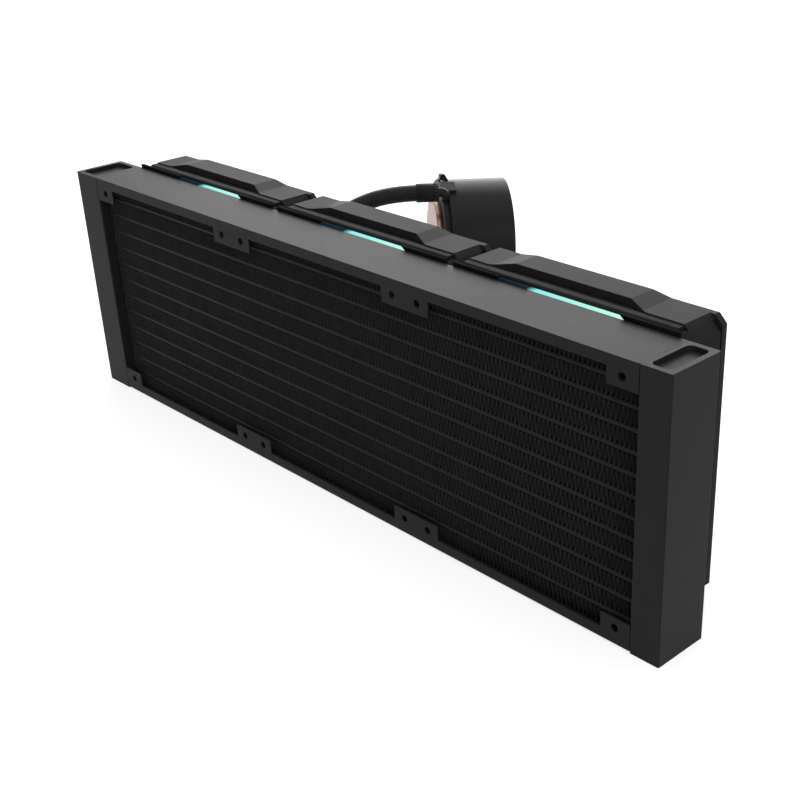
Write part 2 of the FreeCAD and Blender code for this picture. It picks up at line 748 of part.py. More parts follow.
def blade(angle):
    """One swept blade, lofted through three curved sections from hub to tip."""
    hub, tip = size("hub_radius") - size("hub_wall") * 0.6, size("tip_radius") + 3
    back, front = size("blade_back"), size("blade_front")
    thick = size("blade_thick")
    # radius share, sweep ahead of the hub in degrees, chord across the axis, height share
    stations = ((0.0, 0.0, 10.5, 0.86), (0.5, 7.0, 21.0, 0.98), (1.0, 17.0, 33.0, 1.0))
    rings = []
    for share, sweep, across, high in stations:
        radius = hub + (tip - hub) * share
        middle = (back + front) / 2
        rise = (front - back) * high / 2
        turn = FreeCAD.Rotation(V(0, 1, 0), angle + sweep)

        def at(t, y, radius=radius, turn=turn):
            return turn.multVec(V(radius, y, t))

        bow = 0.10 * across
        skin = thick / 2
        nose, tail = (-across / 2, middle - rise), (across / 2, middle + rise)
        span = math.hypot(tail[0] - nose[0], tail[1] - nose[1])
        side = V((nose[1] - tail[1]) / span, (tail[0] - nose[0]) / span, 0)
        upper = (side.x * (bow + skin), middle + side.y * (bow + skin))
        lower = (side.x * (bow - skin), middle + side.y * (bow - skin))
        edge = skin * 0.55
        off = (side.x * edge, side.y * edge)
        a1, a2 = (at(nose[0] + s * off[0], nose[1] + s * off[1]) for s in (1, -1))
        b1, b2 = (at(tail[0] + s * off[0], tail[1] + s * off[1]) for s in (1, -1))
        rings.append(Part.Wire([
            Part.Arc(a1, at(*upper), b1).toShape(),
            Part.LineSegment(b1, b2).toShape(),
            Part.Arc(b2, at(*lower), a2).toShape(),
            Part.LineSegment(a2, a1).toShape(),
        ]))
    loft = Part.makeLoft(rings, True, False)
    axis = V(0, 1, 0)
    inside = Part.makeCylinder(hub, 60, V(0, 10, 0), axis)
    outside = Part.makeCylinder(size("tip_radius"), 60, V(0, 10, 0), axis)
    trimmed = loft.common(outside).cut(inside)
    band = Part.makeBox(200, front - back, 200, V(-100, back, -100))
    return trimmed.common(band)


def rotor_shape(blades):
    """Hub cup with its blades, centred on the axis."""
    cup = turned(
        "hub_cup",
        [
            ("shaft_radius + 0.02", "bearing_post_top + 1.2"), ("hub_boss", "bearing_post_top + 1.2"),
            ("hub_boss", "hub_front - hub_wall"), ("hub_radius - hub_wall", "hub_front - hub_wall"),
            ("hub_radius - hub_wall", "hub_back"), ("hub_radius", "hub_back"),
            ("hub_radius", "hub_front - 1.6"), ("hub_radius - 1.6", "hub_front"), ("0", "hub_front"),
            ("0", "hub_front - hub_wall"), ("shaft_radius + 0.02", "hub_front - hub_wall"),
        ],
    )
    cup.Placement = FreeCAD.Placement(V(0, 0, 0), ALONG_Y)
    doc.recompute()
    shape = cup.Shape.copy()
    for item in blades:
        shape = shape.fuse(item)
    return shape.removeSplitter()


def fan_rotor(name, x, shape):
    rotor = solid(f"{name}_fan_rotor", shape.copy())
    rotor.setExpression(".Placement.Base.x", bound(x))
    keep(f"{name}_fan_rotor", rotor)


def fan_motor(name, x):
    seat = "rad_depth + 0.4 + motor_plate"
    keep(f"{name}_fan_board", turned_along_y(f"{name}_fan_board_body", [
        ("bearing_post + fit_gap", seat), ("board_radius", seat),
        ("board_radius", f"{seat} + board_thick"), ("bearing_post + fit_gap", f"{seat} + board_thick"),
    ], x))
    low = f"{seat} + board_thick"
    ring = turned_along_y(f"{name}_stator_ring", [
        ("bearing_post + fit_gap", low), ("stator_radius", low),
        ("stator_radius", f"{low} + stator_height"), ("bearing_post + fit_gap", f"{low} + stator_height"),
    ], x)
    slots = [
        rod(f"{name}_stator_slot_{i}", "stator_radius * 0.22",
            f"{x} + ({math.cos(math.tau * (i + 0.5) / STATOR_SLOTS):.6f}) * stator_radius * 0.78",
            (f"{low} - 1", f"{low} + stator_height + 1"),
            f"({math.sin(math.tau * (i + 0.5) / STATOR_SLOTS):.6f}) * stator_radius * 0.78")
        for i in range(STATOR_SLOTS)
    ]
    keep(f"{name}_fan_stator", cut(f"{name}_stator_cut", ring, *slots))
    keep(f"{name}_fan_bearing", turned_along_y(f"{name}_bearing_body", [
        ("bearing_bore", "rad_depth + 1.4"), ("bearing_radius", "rad_depth + 1.4"),
        ("bearing_radius", "bearing_post_top - 0.4"), ("bearing_bore", "bearing_post_top - 0.4"),
    ], x))
    keep(f"{name}_fan_shaft", rod(f"{name}_shaft_rod", "shaft_radius", x,
                                  ("rad_depth + 2", "hub_front - hub_wall"), "0"))
    outside = "hub_radius - hub_wall - 0.05"
    keep(f"{name}_fan_magnet", turned_along_y(f"{name}_magnet_body", [
        (f"{outside} - magnet_thick", "hub_back + 0.6"), (outside, "hub_back + 0.6"),
        (outside, "hub_front - hub_wall"), (f"{outside} - magnet_thick", "hub_front - hub_wall"),
    ], x))


rotor = rotor_shape([blade(360.0 / BLADE_COUNT * i) for i in range(BLADE_COUNT)])
for number, name in enumerate(FAN_NAMES):
    x = f"{number - 1} * fan_pitch"
    fan_frame(name, x)
    fan_bezel(name, x)
    keep(f"{name}_fan_lights", fuse(
        f"{name}_light_pair",
        light_bar(f"{name}_top_light", x, 1, "0", "frame_half + light_proud"),
        light_bar(f"{name}_foot_light", x, -1, "0", "frame_half + light_proud"),
    ))
    fan_rotor(name, x, rotor)
    fan_motor(name, x)

# Long screws that hold the fans on the radiator's back tabs
BEZEL_FACE = "frame_front + slit + bezel_thick"
HEAD_LOW = f"{BEZEL_FACE} - screw_head_deep - 0.2"
SCREW = [
    ("0", "screw_tip"), ("screw_shank", "screw_tip"),
    ("screw_shank", HEAD_LOW), ("screw_head", HEAD_LOW),
    ("screw_head", f"{BEZEL_FACE} - 0.5"), ("screw_head - 0.5", f"{BEZEL_FACE} - 0.2"),
    ("0", f"{BEZEL_FACE} - 0.2"),
]
screws = [
    turned_along_y(f"fan_screw_{fan}_{h}_{v}", SCREW, f"{fan - 1} * fan_pitch + ({h}) * hole_span / 2",
                   f"({v}) * hole_span / 2")
    for fan in range(3)
    for h in (-1, 1)
    for v in (-1, 1)
]
keep("fan_screws", fuse("fan_screws_group", *screws))

# Pump: its own Z runs from the cold plate's face to the lid, its own Y is up
turn = math.radians(size("pump_turn"))
lean = math.radians(size("pump_lean"))
AXIS = V(math.cos(turn) * math.cos(lean), math.sin(turn) * math.cos(lean), -math.sin(lean))
ACROSS = V(-math.sin(turn), math.cos(turn), 0)
PUMP_TURN = FreeCAD.Rotation(ACROSS, AXIS.cross(ACROSS), AXIS, "ZXY")
FACE = V(size("pump_x"), size("pump_y"), size("pump_z"))
PUMP_PLACE = FreeCAD.Placement(FACE, PUMP_TURN)


def place_pump(item):
    """Turn a piece drawn on the pump's own axis into its place."""
    item.Placement = FreeCAD.Placement(V(0, 0, 0), PUMP_TURN)
    item.setExpression(".Placement.Base.x", bound("pump_x"))
    item.setExpression(".Placement.Base.y", bound("pump_y"))
    item.setExpression(".Placement.Base.z", bound("pump_z"))
    return item


def local_cylinder(radius, low, high, x=0.0, y=0.0):
    return Part.makeCylinder(radius, high - low, V(x, y, low))


def local_polar(radius, degrees):
    angle = math.radians(degrees)
    return radius * math.cos(angle), radius * math.sin(angle)


def turned_shape(name, profile):
    """The shape of a turned body, for pieces that get more cuts."""
    body = turned(name, profile)
    doc.recompute()
    return body.Shape.copy()


RING_TOP = size("plate_thick") + size("ring_thick") + size("groove_width")


def root_cut(degrees):
    """The round seat that an elbow's root takes in the pump's side."""
    x, y = local_polar(size("pump_radius") - 12, degrees)
    radius = size("elbow_root") + size("fit_gap")
    return Part.makeCylinder(radius, 20, V(x, y, size("elbow_lift")), V(x, y, 0))


ROOT_CUTS = [root_cut(UPPER_ELBOW_ANGLE), root_cut(LOWER_ELBOW_ANGLE)]

# Cold plate with its skived fins, and its screws
plate = turned_shape("cold_plate_disc", [
    ("0", "0"), ("plate_radius - plate_edge", "0"), ("plate_radius", "plate_edge"),
    ("plate_radius", "plate_thick"), ("0", "plate_thick"),
])
side, low = size("skived_side"), size("plate_thick")
skived = Part.makeBox(side, side, size("skived_height") + 0.5, V(-side / 2, -side / 2, low - 0.5))
for index in range(SKIVED_SLOTS):
    x = -side / 2 + side * (index + 1) / (SKIVED_SLOTS + 1) - size("skived_gap") / 2
    skived = skived.cut(Part.makeBox(size("skived_gap"), side + 2, 10, V(x, -side / 2 - 1, low)))
plate = plate.fuse(skived)
plate_screws = []
for index in range(PLATE_SCREWS):
    x, y = local_polar(size("plate_screw_circle"), 360.0 * index / PLATE_SCREWS + 30)
    gap, deep = size("fit_gap"), size("plate_screw_deep")
    plate = plate.cut(local_cylinder(size("plate_screw_shank") + gap, -1, low + 1, x, y))
    plate = plate.cut(local_cylinder(size("plate_screw_head") + gap, -1, deep + 0.2, x, y))
    head = local_cylinder(size("plate_screw_head"), 0.2, deep + 0.2, x, y)
    shank = local_cylinder(size("plate_screw_shank"), deep, size("plate_screw_length"), x, y)
    plate_screws.append(head.fuse(shank).removeSplitter())
keep("cold_plate", place_pump(solid("cold_plate", plate.removeSplitter())))
keep("cold_plate_screws", place_pump(solid("cold_plate_screws", Part.makeCompound(plate_screws))))

# Base ring: clamps the plate, holds the seal, and carries three lugs and two clips
ring = turned_shape("base_ring_disc", [
    ("ring_bore", "plate_thick"), ("seal_inner - 0.1", "plate_thick"),
    ("seal_inner - 0.1", "plate_thick + seal_deep"), ("seal_outer + 0.1", "plate_thick + seal_deep"),
    ("seal_outer + 0.1", "plate_thick"), ("pump_radius", "plate_thick"),
    ("pump_radius", "plate_thick + ring_thick"), ("pump_radius - groove_depth", "plate_thick + ring_thick"),
    ("pump_radius - groove_depth", "plate_thick + ring_thick + groove_width"),
    ("ring_bore", "plate_thick + ring_thick + groove_width"),
])
for index in range(PLATE_SCREWS):
    x, y = local_polar(size("plate_screw_circle"), 360.0 * index / PLATE_SCREWS + 30)
    bore = size("plate_screw_shank") + size("fit_gap")
    ring = ring.cut(local_cylinder(bore, 0, size("plate_screw_length") + 0.4, x, y))
for degrees in LUG_ANGLES:
    low = size("plate_thick")
    rim, crest = size("pump_radius"), size("pump_radius") + size("lug_height")
    reach, step = low + size("ring_thick"), size("lug_foot")
    corners = [
        V(rim - 2, 0, low), V(rim, 0, low), V(rim + 1.2, 0, reach - 0.4), V(crest, 0, reach),
        V(crest, 0, reach + size("lug_tip")), V(rim + size("fit_gap"), 0, reach + step),
        V(rim + size("fit_gap"), 0, reach), V(rim - 2, 0, reach),
    ]
    lug = Part.Face(Part.makePolygon(corners + corners[:1])).extrude(V(0, size("lug_width"), 0))
    lug.translate(V(0, -size("lug_width") / 2, 0))
    lug.rotate(V(0, 0, 0), V(0, 0, 1), degrees)
    ring = ring.fuse(lug)
for degrees in CLIP_ANGLES:
    low = size("plate_thick") + 0.6
    crest = size("pump_radius") + size("clip_height")
    clip = Part.makeBox(size("clip_height") + 0.8, size("clip_width"), size("clip_length"),
                        V(crest - size("clip_height") - 0.8, -size("clip_width") / 2, low))
    foot_high = size("ring_thick") - 0.6
    foot = Part.makeBox(4, size("clip_width"), foot_high, V(crest - 4, -size("clip_width") / 2, low))
    clip = clip.fuse(foot)
    clip = clip.cut(local_cylinder(size("pump_radius") + size("fit_gap"), low + foot_high, low + 20))
    clip.rotate(V(0, 0, 0), V(0, 0, 1), degrees)
    ring = ring.fuse(clip)
for tool in ROOT_CUTS:
    ring = ring.cut(tool)
keep("base_ring", place_pump(solid("base_ring", ring.removeSplitter())))
keep("plate_seal", place_pump(turned("plate_seal_body", [
    ("seal_inner", "plate_thick"), ("seal_outer", "plate_thick"),
    ("seal_outer", "plate_thick + seal_deep"), ("seal_inner", "plate_thick + seal_deep"),
])))

# Housing and lid
HOUSING_LOW = "plate_thick + ring_thick + groove_width"
HOUSING_TOP = f"{HOUSING_LOW} + housing_length"
housing = turned_shape("housing_shell", [
    ("pump_radius - housing_wall", HOUSING_LOW), ("pump_radius", HOUSING_LOW),
    ("pump_radius", f"{HOUSING_TOP} - housing_edge"),
    ("pump_radius - housing_edge * 0.3", f"{HOUSING_TOP} - housing_edge * 0.3"),
    ("pump_radius - housing_edge", HOUSING_TOP), ("pump_radius - housing_wall", HOUSING_TOP),
    ("pump_radius - housing_wall", f"{HOUSING_TOP} - lid_inset"),
    ("pump_radius - housing_wall", f"{HOUSING_TOP} - lid_inset - lid_thick"),
    ("pump_radius - housing_wall - 1.2", f"{HOUSING_TOP} - lid_inset - lid_thick"),
    ("pump_radius - housing_wall - 1.2", f"{HOUSING_TOP} - lid_inset - lid_thick - 1.6"),
    ("pump_radius - housing_wall", f"{HOUSING_TOP} - lid_inset - lid_thick - 2.8"),
])
for tool in ROOT_CUTS:
    housing = housing.cut(tool)
keep("pump_housing", place_pump(solid("pump_housing", housing)))
keep("pump_lid", place_pump(turned("pump_lid_body", [
    ("0", f"{HOUSING_TOP} - lid_inset - lid_thick"),
    ("pump_radius - housing_wall - fit_gap", f"{HOUSING_TOP} - lid_inset - lid_thick"),
    ("pump_radius - housing_wall - fit_gap", f"{HOUSING_TOP} - lid_inset"),
    ("0", f"{HOUSING_TOP} - lid_inset"),
])))

# Chamber, can, shaft, impeller, coil and board inside the housing
CHAMBER_TOP = f"{HOUSING_LOW} + chamber_height"
chamber = turned_shape("chamber_disc", [
    ("chamber_inlet", HOUSING_LOW), ("chamber_radius", HOUSING_LOW), ("chamber_radius", CHAMBER_TOP),
    ("chamber_pocket", CHAMBER_TOP), ("chamber_pocket", f"{HOUSING_LOW} + chamber_floor"),
    ("chamber_inlet", f"{HOUSING_LOW} + chamber_floor"),
])
bridge = Part.makeBox(2.4 * size("chamber_inlet"), 2.4, size("chamber_floor"),
                      V(-1.2 * size("chamber_inlet"), -1.2, RING_TOP))
seat = local_cylinder(3.0, RING_TOP, RING_TOP + size("chamber_floor"))
bore = local_cylinder(size("pump_shaft") + 0.02, RING_TOP + 0.6, RING_TOP + 10)
chamber = chamber.fuse(bridge).fuse(seat).cut(bore)
for tool in ROOT_CUTS:
    chamber = chamber.cut(tool)
keep("chamber_plate", place_pump(solid("chamber_plate", chamber.removeSplitter())))

can = turned_shape("rotor_can_hat", [
    ("can_inner", CHAMBER_TOP), ("chamber_radius", CHAMBER_TOP),
    ("chamber_radius", f"{CHAMBER_TOP} + can_flange"), ("can_inner + can_wall", f"{CHAMBER_TOP} + can_flange"),
    ("can_inner + can_wall", f"{CHAMBER_TOP} + can_height"),
    ("0", f"{CHAMBER_TOP} + can_height"), ("0", f"{CHAMBER_TOP} + can_height - can_wall"),
    ("can_inner", f"{CHAMBER_TOP} + can_height - can_wall"),
])
chamber_top = RING_TOP + size("chamber_height")
for index in range(POST_COUNT):
    x, y = local_polar(size("post_circle"), 360.0 * index / POST_COUNT + 30)
    post_top = chamber_top + size("post_height")
    can = can.fuse(local_cylinder(size("post_radius"), chamber_top + 0.5, post_top, x, y))
keep("rotor_can", place_pump(solid("rotor_can", can.removeSplitter())))
keep("pump_board", place_pump(turned("pump_board_body", [
    ("0", f"{CHAMBER_TOP} + post_height"), ("pump_board_radius", f"{CHAMBER_TOP} + post_height"),
    ("pump_board_radius", f"{CHAMBER_TOP} + post_height + pump_board_thick"),
    ("0", f"{CHAMBER_TOP} + post_height + pump_board_thick"),
])))
keep("pump_shaft", place_pump(turned("pump_shaft_body", [
    ("0", f"{HOUSING_LOW} + 0.6"), ("pump_shaft", f"{HOUSING_LOW} + 0.6"),
    ("pump_shaft", f"{CHAMBER_TOP} + can_height - can_wall"), ("0", f"{CHAMBER_TOP} + can_height - can_wall"),
])))

floor = RING_TOP + size("chamber_floor") + size("running_gap")
hub_top = floor + size("magnet_height")
impeller = local_cylinder(size("magnet_radius"), floor + size("impeller_disc"), hub_top)
impeller = impeller.fuse(local_cylinder(size("impeller_radius"), floor + size("vane_height"),
                                        floor + size("vane_height") + size("impeller_disc")))
for index in range(VANE_COUNT):
    degrees = 360.0 * index / VANE_COUNT
    inner, outer = size("magnet_radius") - 1.5, size("impeller_radius") - 0.4
    stops = ((inner, 0), ((inner + outer) / 2, 12), (outer, 34))
    a, b, c = (V(*local_polar(r, degrees + lag), 0) for r, lag in stops)
    lead = Part.Arc(a, b, c).toShape()
    shift = size("vane_thick")
    a2, b2, c2 = (V(*local_polar(r, degrees + lag + math.degrees(shift / r)), 0) for r, lag in stops)
    trail = Part.Arc(c2, b2, a2).toShape()
    ring_wire = Part.Wire([lead, Part.LineSegment(c, c2).toShape(), trail, Part.LineSegment(a2, a).toShape()])
    vane = Part.Face(ring_wire).extrude(V(0, 0, size("vane_height")))
    vane.translate(V(0, 0, floor))
    impeller = impeller.fuse(vane)
impeller = impeller.cut(local_cylinder(size("bearing_bore"), floor - 1, hub_top + 1))
keep("impeller", place_pump(solid("impeller", impeller.removeSplitter())))

coil_low = chamber_top + size("can_flange")
can_outer = size("can_inner") + size("can_wall")
coil = local_cylinder(size("coil_radius"), coil_low, coil_low + size("coil_height"))
coil = coil.cut(local_cylinder(can_outer + size("fit_gap"), coil_low - 1, coil_low + 30))
for index in range(COIL_SLOTS):
    x, y = local_polar((size("coil_radius") + can_outer) / 2, 360.0 * index / COIL_SLOTS)
    coil = coil.cut(local_cylinder(3.4, coil_low - 1, coil_low + 30, x, y))
keep("pump_stator", place_pump(solid("pump_stator", coil)))


# Hose elbows on the pump's side, and the collars on them
def elbow(side_name, degrees):
    """A tube that leaves the pump's side, bends and runs back past the cold plate."""
    out = V(*local_polar(1.0, degrees), 0)
    down = V(0, 0, -1)
    lift = V(0, 0, size("elbow_lift"))
    bend, circle = size("elbow_bend"), size("elbow_circle")
    start = out * (size("pump_radius") - 3.2) + lift
    first = out * (circle - bend) + lift
    slant = bend * math.sin(math.pi / 4)
    middle = out * (circle - bend + slant) + lift + down * (bend - slant)
    second = out * circle + lift + down * bend
    end = out * circle + V(0, 0, size("elbow_nut_to") - size("collar_length") + size("barb_tail"))
    path = Part.Wire([
        Part.LineSegment(start, first).toShape(),
        Part.Arc(first, middle, second).toShape(),
        Part.LineSegment(second, end).toShape(),
    ])

    def pipe(radius):
        ring_edge = Part.Wire([Part.makeCircle(radius, start, out)])
        return path.makePipeShell([ring_edge], True, False)

    spot = out * circle
    nut = Part.makeCylinder(size("elbow_nut"), size("elbow_nut_from") - size("elbow_nut_to"),
                            spot + V(0, 0, size("elbow_nut_to")))
    tube = pipe(size("elbow_root")).fuse(nut).cut(pipe(size("elbow_inner"))).removeSplitter()
    keep(f"{side_name}_elbow", place_pump(solid(f"{side_name}_elbow", tube)))
    top, long = size("elbow_nut_to"), size("collar_length")
    collar = Part.makeCylinder(size("collar_radius"), long, spot + V(0, 0, top - long))
    room = Part.makeCylinder(size("elbow_root") + size("fit_gap"), long - size("barb_tail") + 0.1,
                             spot + V(0, 0, top - long + size("barb_tail") - size("fit_gap")))
    keep(f"{side_name}_pump_collar", place_pump(solid(f"{side_name}_pump_collar", collar.cut(room))))
    return FACE + PUMP_TURN.multVec(spot + V(0, 0, top - size("collar_length")))


# Hoses: straight runs joined by tangent arcs
def hose(name, route):
    """A round bar along the route; prints its radii and compares its volume."""
    points = [V(*point) for point in route]
    edges, radii, length, start = [], [], 0.0, points[0]
    for before, corner, after in zip(points, points[1:], points[2:]):
        back, ahead = (before - corner), (after - corner)
        shorter = min(back.Length, ahead.Length)
        back.normalize()
        ahead.normalize()
        half_turn = (math.pi - back.getAngle(ahead)) / 2
        cut_back = 0.45 * shorter
        radius = cut_back / math.tan(half_turn)
        radii.append(radius)
        enter, leave = corner + back * cut_back, corner + ahead * cut_back
        bisector = back + ahead
        bisector.normalize()
        centre = corner + bisector * (radius / math.cos(half_turn))
        crown = centre - bisector * radius
        edges.append(Part.LineSegment(start, enter).toShape())
        edges.append(Part.Arc(enter, crown, leave).toShape())
        length += (enter - start).Length + radius * 2 * half_turn
        start = leave
    edges.append(Part.LineSegment(start, points[-1]).toShape())
    length += (points[-1] - start).Length
    path = Part.Wire(edges)
    first_run = points[1] - points[0]
    ring_edge = Part.Wire([Part.makeCircle(size("hose_radius"), points[0], first_run)])
    shape = path.makePipeShell([ring_edge], True, False)
    expected = math.pi * size("hose_radius") ** 2 * length
    print(f"{name}: length {length:.1f}, volume ratio {shape.Volume / expected:.4f}, radii",
          " ".join(f"{radius:.0f}" for radius in radii))
    keep(name, solid(name, shape))


upper_start = elbow("upper", UPPER_ELBOW_ANGLE)
lower_start = elbow("lower", LOWER_ELBOW_ANGLE)
port_x = -size("core_half") - size("left_tank_width") / 2
port_y = size("rad_depth") + size("port_flange_thick") + size("collar_length")
port_z = size("port_rise")
print("hose starts", upper_start, lower_start, "ports", port_x, port_y, port_z)

hose("upper_hose", [
    tuple(upper_start),
    tuple(upper_start - AXIS * 14.0),
    (-157.8, 157.8, 13.8),
    (-166.5, 139.1, 3.8),
    (-176.1, 118.5, 0.7),
    (-184.5, 97.4, 4.3),
    (-189.4, 76.2, 12.4),
    (port_x, port_y + 15.0, port_z),
    (port_x, port_y, port_z),
])
hose("lower_hose", [
    tuple(lower_start),
    tuple(lower_start - AXIS * 16.0),
    (-144.6, 144.4, -10.8),
    (-157.6, 128.5, -12.5),
    (-169.2, 111.7, -14.5),
    (-179.0, 93.7, -16.2),
    (-186.2, 74.5, -17.4),
    (port_x, port_y + 15.5, -port_z),
    (port_x, port_y, -port_z),
])

doc.recompute()
for item in doc.Objects:
    state = {str(word) for word in item.State}
    if state & {"Invalid", "Error"}:
        raise RuntimeError(f"{item.Name} has state {sorted(state)}")
for node, item in pieces.items():
    if item.Shape.isNull() or not item.Shape.isValid() or not item.Shape.Solids:
        raise RuntimeError(f"{node} has no valid solid")

os.makedirs("parts", exist_ok=True)
for node, item in pieces.items():
    item.Shape.exportStep(f"parts/{node}.step")
print(len(pieces), "nodes")
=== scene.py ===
"""Liquid cooler for a processor: the dressed pieces, their finishes, the studio and the camera.

Everything is in metres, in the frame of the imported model: X along the radiator, +Y from its bare
face towards the fans, +Z up, with the origin on the bare face behind the middle fan.
"""

import logging
import math
from dataclasses import dataclass, field
from enum import Enum
from typing import Callable, Iterable, Sequence

import bmesh
import bpy
import numpy as np
from mathutils import Matrix
from numpy.typing import NDArray

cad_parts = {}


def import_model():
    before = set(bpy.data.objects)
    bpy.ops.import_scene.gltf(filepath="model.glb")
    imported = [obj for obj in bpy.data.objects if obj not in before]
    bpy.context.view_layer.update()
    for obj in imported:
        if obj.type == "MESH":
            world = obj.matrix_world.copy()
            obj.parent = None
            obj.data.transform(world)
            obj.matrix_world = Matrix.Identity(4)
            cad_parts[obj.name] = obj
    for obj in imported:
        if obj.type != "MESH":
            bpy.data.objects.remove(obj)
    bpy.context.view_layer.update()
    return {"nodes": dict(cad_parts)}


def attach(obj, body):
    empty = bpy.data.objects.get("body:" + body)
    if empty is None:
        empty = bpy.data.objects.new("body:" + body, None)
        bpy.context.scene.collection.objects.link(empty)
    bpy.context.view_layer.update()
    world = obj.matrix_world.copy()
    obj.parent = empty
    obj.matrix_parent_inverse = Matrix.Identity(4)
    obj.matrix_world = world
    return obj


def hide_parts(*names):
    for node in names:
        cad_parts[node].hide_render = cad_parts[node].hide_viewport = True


Array = NDArray[np.float64]
Color = tuple[float, float, float]
MM = 0.001
RIM_LEVELS = 3
RELIEF_DEPTH = 0.02 * MM
COAT_ROUGHNESS = 0.15
SMOOTHEST = 0.02
WELD_REACH = 1e-6
EDGE_ANGLE = math.radians(40)
log = logging.getLogger("cooler")


class Fan(Enum):
    """The fans in a row, each with its centre's X and the X where its light turns bright."""

    LEFT = ("left", -0.120, -0.0085)
    MIDDLE = ("middle", 0.0, -0.0125)
    RIGHT = ("right", 0.120, -0.0195)

    @property
    def label(self) -> str:
        """Word that begins the names of this fan's nodes."""
        return self.value[0]

    @property
    def centre(self) -> float:
        """X of the fan's axis."""
        return self.value[1]

    @property
    def bright_from(self) -> float:
        """X, from the axis, where the light bar turns bright."""
        return self.value[2]


class Side(Enum):
    """Upper and lower of a pair."""

    UPPER = "upper"
    LOWER = "lower"


# Surfaces


UP = np.array([0.0, 0.0, 1.0])


def unit(vector: Array) -> Array:
    """The vectors scaled to length one along their last axis."""
    return vector / np.linalg.norm(vector, axis=-1, keepdims=True)


def lattice(rows: int, cols: int, close_rows: bool = False, close_cols: bool = False) -> Array:
    """Quads of a grid of points numbered row by row.

    Args:
        rows: Number of rows of points.
        cols: Number of points in each row.
        close_rows: Joins the last row to the first.
        close_cols: Joins each row's last point to its first.

    Returns:
        One line of four point numbers for each quad.
    """
    i = np.arange(rows if close_rows else rows - 1)
    j = np.arange(cols if close_cols else cols - 1)
    low, left = np.meshgrid(i, j, indexing="ij")
    high, right = (low + 1) % rows, (left + 1) % cols
    quads = np.stack([low * cols + left, low * cols + right, high * cols + right, high * cols + left], axis=-1)
    return quads.reshape(-1, 4)


@dataclass(frozen=True)
class Patch:
    """A stretch of surface: its points and its faces."""

    points: Array
    faces: tuple[tuple[int, ...], ...]

    @staticmethod
    def grid(points: Array, close_rows: bool = False, close_cols: bool = False, caps: bool = False) -> "Patch":
        """A grid of points as a surface.

        Args:
            points: Points in rows, shaped rows by columns by three.
            close_rows: Joins the last row to the first.
            close_cols: Joins each row's last point to its first.
            caps: Closes the first and last row with one face each.

        Returns:
            The surface.
        """
        rows, cols = points.shape[:2]
        faces = [tuple(quad) for quad in lattice(rows, cols, close_rows, close_cols).tolist()]
        if caps:
            faces.append(tuple(range(cols - 1, -1, -1)))
            faces.append(tuple(range((rows - 1) * cols, rows * cols)))
        return Patch(points.reshape(-1, 3), tuple(faces))

    @staticmethod
    def join(patches: Iterable["Patch"]) -> "Patch":
        """Several surfaces as one.

        Args:
            patches: The surfaces, at least one.

        Returns:
            The surface that holds them all.
        """
        points, faces, start = [], [], 0
        for patch in patches:
            points.append(patch.points)
            faces.extend(tuple(n + start for n in face) for face in patch.faces)
            start += len(patch.points)
        return Patch(np.concatenate(points), tuple(faces))


@dataclass(frozen=True)
class Place:
    """A local frame: a piece's x, y and z directions and its origin."""

    origin: tuple[float, float, float]
    x: tuple[float, float, float] = (1.0, 0.0, 0.0)
    y: tuple[float, float, float] = (0.0, 1.0, 0.0)
    z: tuple[float, float, float] = (0.0, 0.0, 1.0)

    def put(self, points: Array) -> Array:
        """Local points in the row frame."""
        return points @ np.array([self.x, self.y, self.z]) + np.array(self.origin)

    def patch(self, patch: Patch) -> Patch:
        """A local surface in the row frame."""
        return Patch(self.put(patch.points), patch.faces)

    @staticmethod
    def along(origin: Sequence[float], axis: Sequence[float], side: Sequence[float] = (0, 0, 1)) -> "Place":
        """A frame whose z is the axis and whose x is as near to side as it can be.

        Args:
            origin: Its origin.
            axis: Direction of its z.
            side: Direction near its x, and not along the axis.

        Returns:
            The frame.
        """
        z = unit(np.asarray(axis, float))
        x = unit(np.asarray(side, float) - np.dot(side, z) * z)
        y = np.cross(z, x)
        return Place(tuple(origin), tuple(x), tuple(y), tuple(z))


def softened(corners: Sequence[Sequence[float]], radii: float | Sequence[float], steps: int = 3) -> Array:
    """A closed polyline with each corner turned into a small arc.

    Each corner P with unit legs a and b becomes the quadratic curve from P + r a to P + r b with
    P as its middle control point, r being the smaller of the radius and 0.45 of the shorter leg.

    Args:
        corners: Corner points, two numbers each.
        radii: One radius, or one for each corner.
        steps: Points on each arc less one.

    Returns:
        The softened points in order.
    """
    p = np.asarray(corners, float)
    r = np.broadcast_to(np.asarray(radii, float), (len(p),)).copy()
    back, ahead = np.roll(p, 1, axis=0) - p, np.roll(p, -1, axis=0) - p
    shorter = np.minimum(np.linalg.norm(back, axis=1), np.linalg.norm(ahead, axis=1))
    r = np.minimum(r, 0.45 * shorter)[:, None]
    start, stop = p + unit(back) * r, p + unit(ahead) * r
    t = np.linspace(0, 1, steps + 1)[None, :, None]
    arcs = (1 - t) ** 2 * start[:, None] + 2 * t * (1 - t) * p[:, None] + t**2 * stop[:, None]
    return arcs.reshape(-1, p.shape[1])


def lathe(profile: Array, place: Place, steps: int) -> Patch:
    """A surface of revolution: each point (radius, height) of a closed profile is swept round the place's z.

    Args:
        profile: Points of radius and height.
        place: Local frame.
        steps: Points round the circle.

    Returns:
        The surface.
    """
    angle = np.linspace(0, math.tau, steps, endpoint=False)
    radius, height = profile[:, 0][None], profile[:, 1][None]
    around = np.stack([radius * np.cos(angle)[:, None], radius * np.sin(angle)[:, None],
                       np.broadcast_to(height, (steps, len(profile)))], axis=-1)
    return Patch.grid(place.put(around), close_rows=True, close_cols=True)


